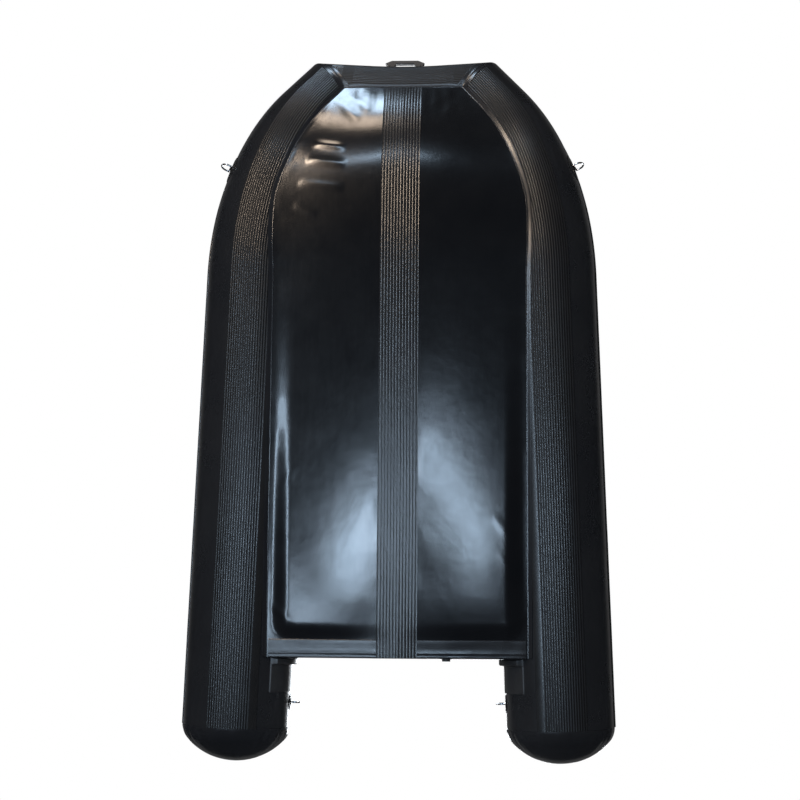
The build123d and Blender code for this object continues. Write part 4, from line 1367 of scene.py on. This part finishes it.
# %% [markdown]
# ## Air floor
# The floor is a stiff air mattress: two sheets of fabric joined by thousands of threads, so its faces stay flat, with
# a rounded side wall and a seam tape round it. Its outline is a rectangle with a rounded nose, narrowed to clear the
# tubes. The dimples of the threads come with its finish.

# %% Air floor
floor_low, floor_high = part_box("floor")
floor_middle_z = (floor_low.z + floor_high.z) / 2
floor_half = (floor_high.z - floor_low.z) / 2
side_wall = floor_half


def clear_half(y, z):
    """Half the space between the tubes at a place."""
    best = 9.0
    along = (stern.y - y) / cos(toe_in)
    for k in range(-14, 15):
        middle, _, out, rise = side_frame(max(along + k * 0.03, 0.0))
        if abs(middle.y - y) < 0.035:
            room = tube_radius ** 2 - (z - middle.z) ** 2
            best = min(best, middle.x - sqrt(max(room, 0.0)))
    return best


nose_radius = 0.260
floor_length = floor_high.y - floor_low.y
floor_width = {}


def floor_edge(y):
    """Half width of the floor at a Y, with its rounded nose."""
    key = round(y, 3)
    if key not in floor_width:
        heights = (floor_low.z + 0.006, floor_middle_z, floor_high.z - 0.006)
        widest = min(min(clear_half(y, z) for z in heights) - 0.002, floor_high.x)
        ahead = y - floor_low.y
        if ahead < nose_radius:
            nose = sqrt(max(nose_radius ** 2 - (nose_radius - ahead) ** 2, 0.0))
            widest = min(widest, floor_high.x - nose_radius + nose)
        floor_width[key] = widest
    return floor_width[key]


print("floor edge", [round(floor_edge(y), 3) for y in (0.9, 0.5, 0.0, -0.4, -0.7, floor_low.y + 0.01)])

# %% [markdown]
# The mattress is laid as a closed section, row after row. The columns sit closer where its seam tape ends and where
# its side wall turns over. At both ends the section thins to a line, as the wall's own curve does.

# %% Floor mattress
wall_turns = [radians(a) for a in (80, 68, 54, 38, 20, 0, -20, -38, -54, -68, -80)]
floor_stations = [0.0, 0.0015, 0.004, 0.008, 0.014, 0.020, 0.027, 0.0325, 0.0385, 0.041, 0.048]
floor_rows = floor_stations + [0.06 + (floor_length - 0.12) * k / 90 for k in range(91)]
floor_rows += [floor_length - at for at in reversed(floor_stations)]


def floor_section(wide, tall, tape):
    """Half the loop: the top from the middle outwards, the wall, and back under to the middle."""
    flat = wide - side_wall
    loop = [((flat - 0.032) * k / 12, tall) for k in range(13)]
    loop += [(flat - inward, tall + rise * tape) for inward, rise in ((0.0305, 0.0009), (0.015, 0.0010), (0.0, 0.0008))]
    loop += [(flat + side_wall * cos(turn), tall * sin(turn)) for turn in wall_turns]
    loop += [(flat, -tall), (flat - 0.030, -tall)]
    return loop + [(flat * (1 - k / 6), -tall) for k in range(1, 7)]


section_points = len(floor_section(0.4, 0.03, 1.0))


def floor_spot(row, column):
    at = floor_rows[row]
    y = floor_high.y - at
    from_end = min(at, floor_length - at)
    thin = sqrt(max(0.0, 1 - ((side_wall - min(from_end, side_wall)) / side_wall) ** 2))
    tape = 1.0 if from_end > 0 else 0.0
    half = floor_edge(min(max(y, floor_low.y + 0.0005), floor_high.y - 0.02))
    x, z = floor_section(half, floor_half * thin, tape)[column]
    raised = 0.0009 if (from_end < 0.040 and z > 0 and column < 14) else 0.0
    crown = 0.0010 * rough(Vector((x, y, 0)), 0.16, 61.0) if z > 0 and thin > 0.99 else 0.0
    return Vector((x, y, floor_middle_z + z + crown - 0.0012 + raised))


air_floor = lay_strip("air_floor", len(floor_rows) - 1, section_points - 1, floor_spot)
mirrored(air_floor)
close(air_floor, angle=50)
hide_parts("floor")
print("air floor", len(air_floor.data.polygons), "faces")

# %% [markdown]
# ## Rubber holders
# The transom stands in a moulded rubber channel on each tube, and the bench rests on a rubber ledge. Both are glued
# down by a thin base. A grid wrapped on the tube is raised row by row to the moulding's section, and a ledge is a
# bevelled box that runs into its base.

# %% Rubber holders
holder_rows = [
    (0.1380, 0.0003), (0.1386, 0.0040), (0.1420, 0.0050), (0.1700, 0.0050), (0.2050, 0.0050), (0.2380, 0.0050),
    (0.2425, 0.0056), (0.2440, 0.0080), (0.2448, 0.0200), (0.2470, 0.0232), (0.2505, 0.0240), (0.2640, 0.0240),
    (0.2675, 0.0232), (0.2690, 0.0205), (0.2694, 0.0060), (0.2699, 0.0050), (0.2981, 0.0050), (0.2986, 0.0060),
    (0.2990, 0.0205), (0.3005, 0.0232), (0.3040, 0.0240), (0.3175, 0.0240), (0.3205, 0.0232), (0.3230, 0.0200),
    (0.3240, 0.0040), (0.3243, 0.0003),
]
holder_turns = [-42.5, -42.9, -43.6, -44.4, -45.4, -47.0] + [-49.0 - 2.2 * k for k in range(30)] \
    + [-114.5, -115.6, -116.6, -117.4, -118.0, -119.5, -122.0, -124.2, -124.8, -125.0]
base_thickness = 0.005
base_range = (-125.0, -42.5)
wall_range = (-118.0, -43.6)


def within(value, low, high, start, end):
    """1 inside a range, easing to 0 at both of its ends."""
    return step(value - low, start, end) * step(high - value, start, end)


def holder_spot(row, column):
    along, height = holder_rows[row]
    turn = holder_turns[column]
    base = min(height, base_thickness) * within(turn, *base_range, -0.05, 0.8)
    wall = max(0.0, height - base_thickness) * within(turn, *wall_range, 0.0, 3.2)
    uneven = 0.0004 * rough(Vector((along * 9, turn / 12, 3)), 1.0)
    return side_spot((along, 0.0), turn, tube_radius + base + wall + uneven * step(height, 0.002, 0.005))


port_holder = lay_strip("port_holder_channel", len(holder_rows) - 1, len(holder_turns) - 1, holder_spot)
face_out(port_holder, side_middle)
starboard_holder = twin(port_holder, "starboard_holder_channel")
for side, piece in (("port", port_holder), ("starboard", starboard_holder)):
    close(piece, angle=50)
    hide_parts(side + "_transom_holder")

patch_rows = [
    1.2700, 1.2706, 1.2725, 1.2800, 1.3100, 1.3400, 1.3650, 1.3900, 1.4200, 1.4500, 1.4575, 1.4594, 1.4600,
]
patch_turns = [-102.0, -102.2, -102.8] + [-104.0 - 2.125 * k for k in range(17)] + [-139.2, -139.8, -140.0]


def patch_spot(row, column):
    along, turn = patch_rows[row], patch_turns[column]
    edge = min(step(along - 1.2700, -0.0002, 0.002), step(1.4600 - along, -0.0002, 0.002))
    edge *= within(turn, -140.0, -102.0, -0.05, 0.7)
    uneven = 0.0003 * rough(Vector((along * 9, turn / 12, 8)), 1.0)
    return side_spot((along, 0.0), turn, tube_radius + 0.0003 + (0.0045 + uneven) * edge)


seat_patch = lay_strip("seat_rests", len(patch_rows) - 1, len(patch_turns) - 1, patch_spot)
face_out(seat_patch, side_middle)
rest_middle = side_frame(1.365)[0]
rest_top = 0.313
rest_overhang = 0.048
rest_inner = rest_middle.x - sqrt(tube_radius ** 2 - (rest_top - rest_middle.z) ** 2) - rest_overhang
ledge_size = Vector((0.068, 0.170, 0.012))
ledge_middle = (rest_inner + ledge_size.x / 2, rest_middle.y, rest_top - ledge_size.z / 2)
deselect()
bpy.ops.mesh.primitive_cube_add(size=1, location=ledge_middle, scale=ledge_size)
bpy.ops.object.transform_apply(location=True, rotation=True, scale=True)
ledge = bpy.context.object
modify(ledge, "BEVEL", width=0.0025, segments=3, limit_method="NONE")
take(seat_patch)
ledge.select_set(True)
bpy.ops.object.join()
mirrored(seat_patch)
close(seat_patch, angle=45)
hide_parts("seat_holders")
print("holders", len(port_holder.data.polygons), "faces each, seat rests", len(seat_patch.data.polygons))

# %% [markdown]
# ## The other finishes
# The floor's fabric is a fine weave over a field of threads, which shows as rows of faint dimples. A product of two
# sines makes each: a fast pair for the weave, a slow pair for the dimples.

# %% Floor fabric
def crossed(made, pitch, axes=(0, 1)):
    """A chequer of soft bumps, one for each pitch in metres along two axes."""
    parts = made.nodes.new("ShaderNodeSeparateXYZ")
    made.links.new(made.place.socket, parts.inputs[0])
    waves = [(Signal(made, parts.outputs[axis]) * (2 * pi / pitch)).math("SINE") for axis in axes]
    return waves[0] * waves[1]


def woven_floor():
    """Grey woven fabric over a field of drop threads."""
    made = Finish("floor_fabric", Specular_IOR_Level=0.4)
    cloud = made.noise(5.0, 4.0)
    grime = made.ramp(made.noise(3.2, 5.0), 0.45, 0.78)
    weave = crossed(made, 0.0016)
    shade = made.mix(cloud, (0.085, 0.090, 0.095), (0.115, 0.120, 0.124))
    shade = made.mix(grime * 0.22, shade, (0.16, 0.15, 0.135))
    shade = made.mix(weave * 0.10 + 0.10, shade, (0.05, 0.052, 0.055))
    shine = cloud * 0.12 + weave * 0.05 + grime * 0.10 + 0.42
    return made.wear(shade, shine, [(weave, 0.00006), (crossed(made, 0.011), 0.00030)])


dress(woven_floor(), air_floor)
print("dressed", air_floor.name)

# %% [markdown]
# ## Moulded plastic
# Fittings come from a mould with a fine spark-eroded grain. Scuffs and dust lie on it in patches.

# %% Moulded plastics
def moulded(name, colour, worn, shine, grain=0.00006):
    """Grained plastic or rubber, scuffed and dusty."""
    made = Finish(name, Specular_IOR_Level=0.5)
    cloud = made.noise(22.0, 4.0)
    scuffs = made.ramp(made.noise(60.0, 6.0, stretch=(1.0, 4.0, 1.0)), 0.60, 0.72)
    pores = made.noise(1900.0, 2.0)
    shade = made.mix(cloud * 0.7 + scuffs * 0.3, colour, worn)
    dust = made.ramp(made.noise(300.0, 3.0), 0.66, 0.80)
    shade = made.mix(dust * 0.07, shade, (0.28, 0.27, 0.25))
    rub = cloud * 0.14 + pores * 0.08 + scuffs * 0.08 + (shine - 0.10)
    return made.wear(shade, rub, [(pores, grain), (made.noise(140.0, 2.0), 0.00010)])


fitting_plastic = moulded("fitting_plastic", (0.016, 0.016, 0.017), (0.030, 0.030, 0.031), 0.46)
valve_plastic = moulded("valve_plastic", (0.045, 0.046, 0.048), (0.070, 0.070, 0.072), 0.42)
oar_plastic = moulded("oar_plastic", (0.024, 0.024, 0.026), (0.042, 0.042, 0.043), 0.38)
holder_rubber = moulded("holder_rubber", (0.013, 0.0135, 0.015), (0.022, 0.022, 0.023), 0.40, 0.00004)
print("moulded finishes", [made.name for made in (fitting_plastic, valve_plastic, oar_plastic, holder_rubber)])

# %% [markdown]
# ## Metals
# Stainless wire is polished along its length, with fine draw lines. Anodised aluminium is satin, drawn along the oar
# and along the bench.

# %% Metals
def drawn_metal(name, colour, dark, shine_low, shine_high, stretch):
    """Bare metal with draw lines that stretch along its axes."""
    made = Finish(name, Metallic=1.0)
    lines = made.noise(90.0, 5.0, stretch=stretch)
    cloud = made.noise(9.0, 4.0)
    marks = made.ramp(made.noise(26.0, 6.0), 0.62, 0.74)
    shade = made.mix(lines * 0.5 + cloud * 0.5, colour, dark)
    span = shine_high - shine_low
    shine = lines * (span * 0.6) + cloud * (span * 0.5) + marks * 0.08 + shine_low
    return made.wear(shade, shine, [(lines, 0.00003)])


ring_steel = drawn_metal("ring_steel", (0.60, 0.61, 0.63), (0.46, 0.47, 0.49), 0.14, 0.30, (6.0, 6.0, 6.0))
oar_aluminium = drawn_metal("oar_aluminium", (0.66, 0.68, 0.70), (0.55, 0.57, 0.59), 0.26, 0.42, (8.0, 0.5, 8.0))
bench_board = drawn_metal("bench_board", (0.64, 0.65, 0.66), (0.54, 0.55, 0.56), 0.30, 0.46, (0.3, 8.0, 8.0))
print("metals", [made.name for made in (ring_steel, oar_aluminium, bench_board)])

# %% [markdown]
# ## Transom board
# Boat ply is faced with a hot-pressed film whose wire-mesh print gives grip: rows of tiny bumps. The film is glossy on
# the bumps.

# %% Transom board
def faced_board():
    """Ply with a meshed film."""
    made = Finish("transom_board", Specular_IOR_Level=0.5)
    mesh = crossed(made, 0.0042, axes=(0, 2))
    cloud = made.noise(8.0, 5.0)
    rubs = made.ramp(made.noise(14.0, 5.0, stretch=(0.4, 1.0, 2.0)), 0.58, 0.74)
    shade = made.mix(cloud, (0.024, 0.0245, 0.027), (0.040, 0.040, 0.042))
    shade = made.mix(rubs * 0.18, shade, (0.10, 0.098, 0.094))
    shine = cloud * 0.14 + rubs * 0.14 + 0.27 - mesh * 0.04
    return made.wear(shade, shine, [(mesh, 0.00012), (made.noise(40.0, 3.0), 0.00015)])


transom_board = faced_board()
print("transom finish", transom_board.name)

# %% [markdown]
# ## Dressing the fittings
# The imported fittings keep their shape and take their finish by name.

# %% Dress the fittings
fittings = {
    "transom": transom_board,
    "outer_motor_pad": fitting_plastic, "inner_motor_pad": fitting_plastic, "drain_plug": fitting_plastic,
    "bow_handle": fitting_plastic, "bow_rings": ring_steel, "stern_rings": ring_steel, "bench_seat": bench_board,
    "floor_valve": valve_plastic, "bow_air_valve": valve_plastic, "carry_handles": holder_rubber,
}
for side in ("port", "starboard"):
    fittings.update({
        side + "_air_valve": valve_plastic, side + "_rowlock": fitting_plastic,
        side + "_oar_rest": fitting_plastic, side + "_oar_shaft": oar_aluminium, side + "_oar_collar": oar_plastic,
        side + "_oar_grip": oar_plastic, side + "_oar_blade": oar_plastic,
    })
for node, material in fittings.items():
    dress(material, node)
print("dressed", len(fittings), "fittings")

# %% [markdown]
# ## Dressing
# Every piece gets its finish.

# %% Dress the fabric pieces
dress(tube_fabric, port_tube, starboard_tube, bow_skin)
dress(cap_fabric, port_cap, starboard_cap, port_flange, starboard_flange, bow_flange, corner_tape, stern_strip)
dress(bottom_fabric, sheet)
dress(guard_rubber, keel_strip, port_strake, starboard_strake, bow_strake)
for guard in (port_guard, starboard_guard, bow_guard):
    guard.data.materials[0] = guard_rubber
    # The second slot takes the grooves' rubber, whose darker colour is painted shade.
    guard.data.materials[1] = groove_rubber_painted_shade
dress(holder_rubber, port_holder, starboard_holder, seat_patch)
print("dressed the fabric")
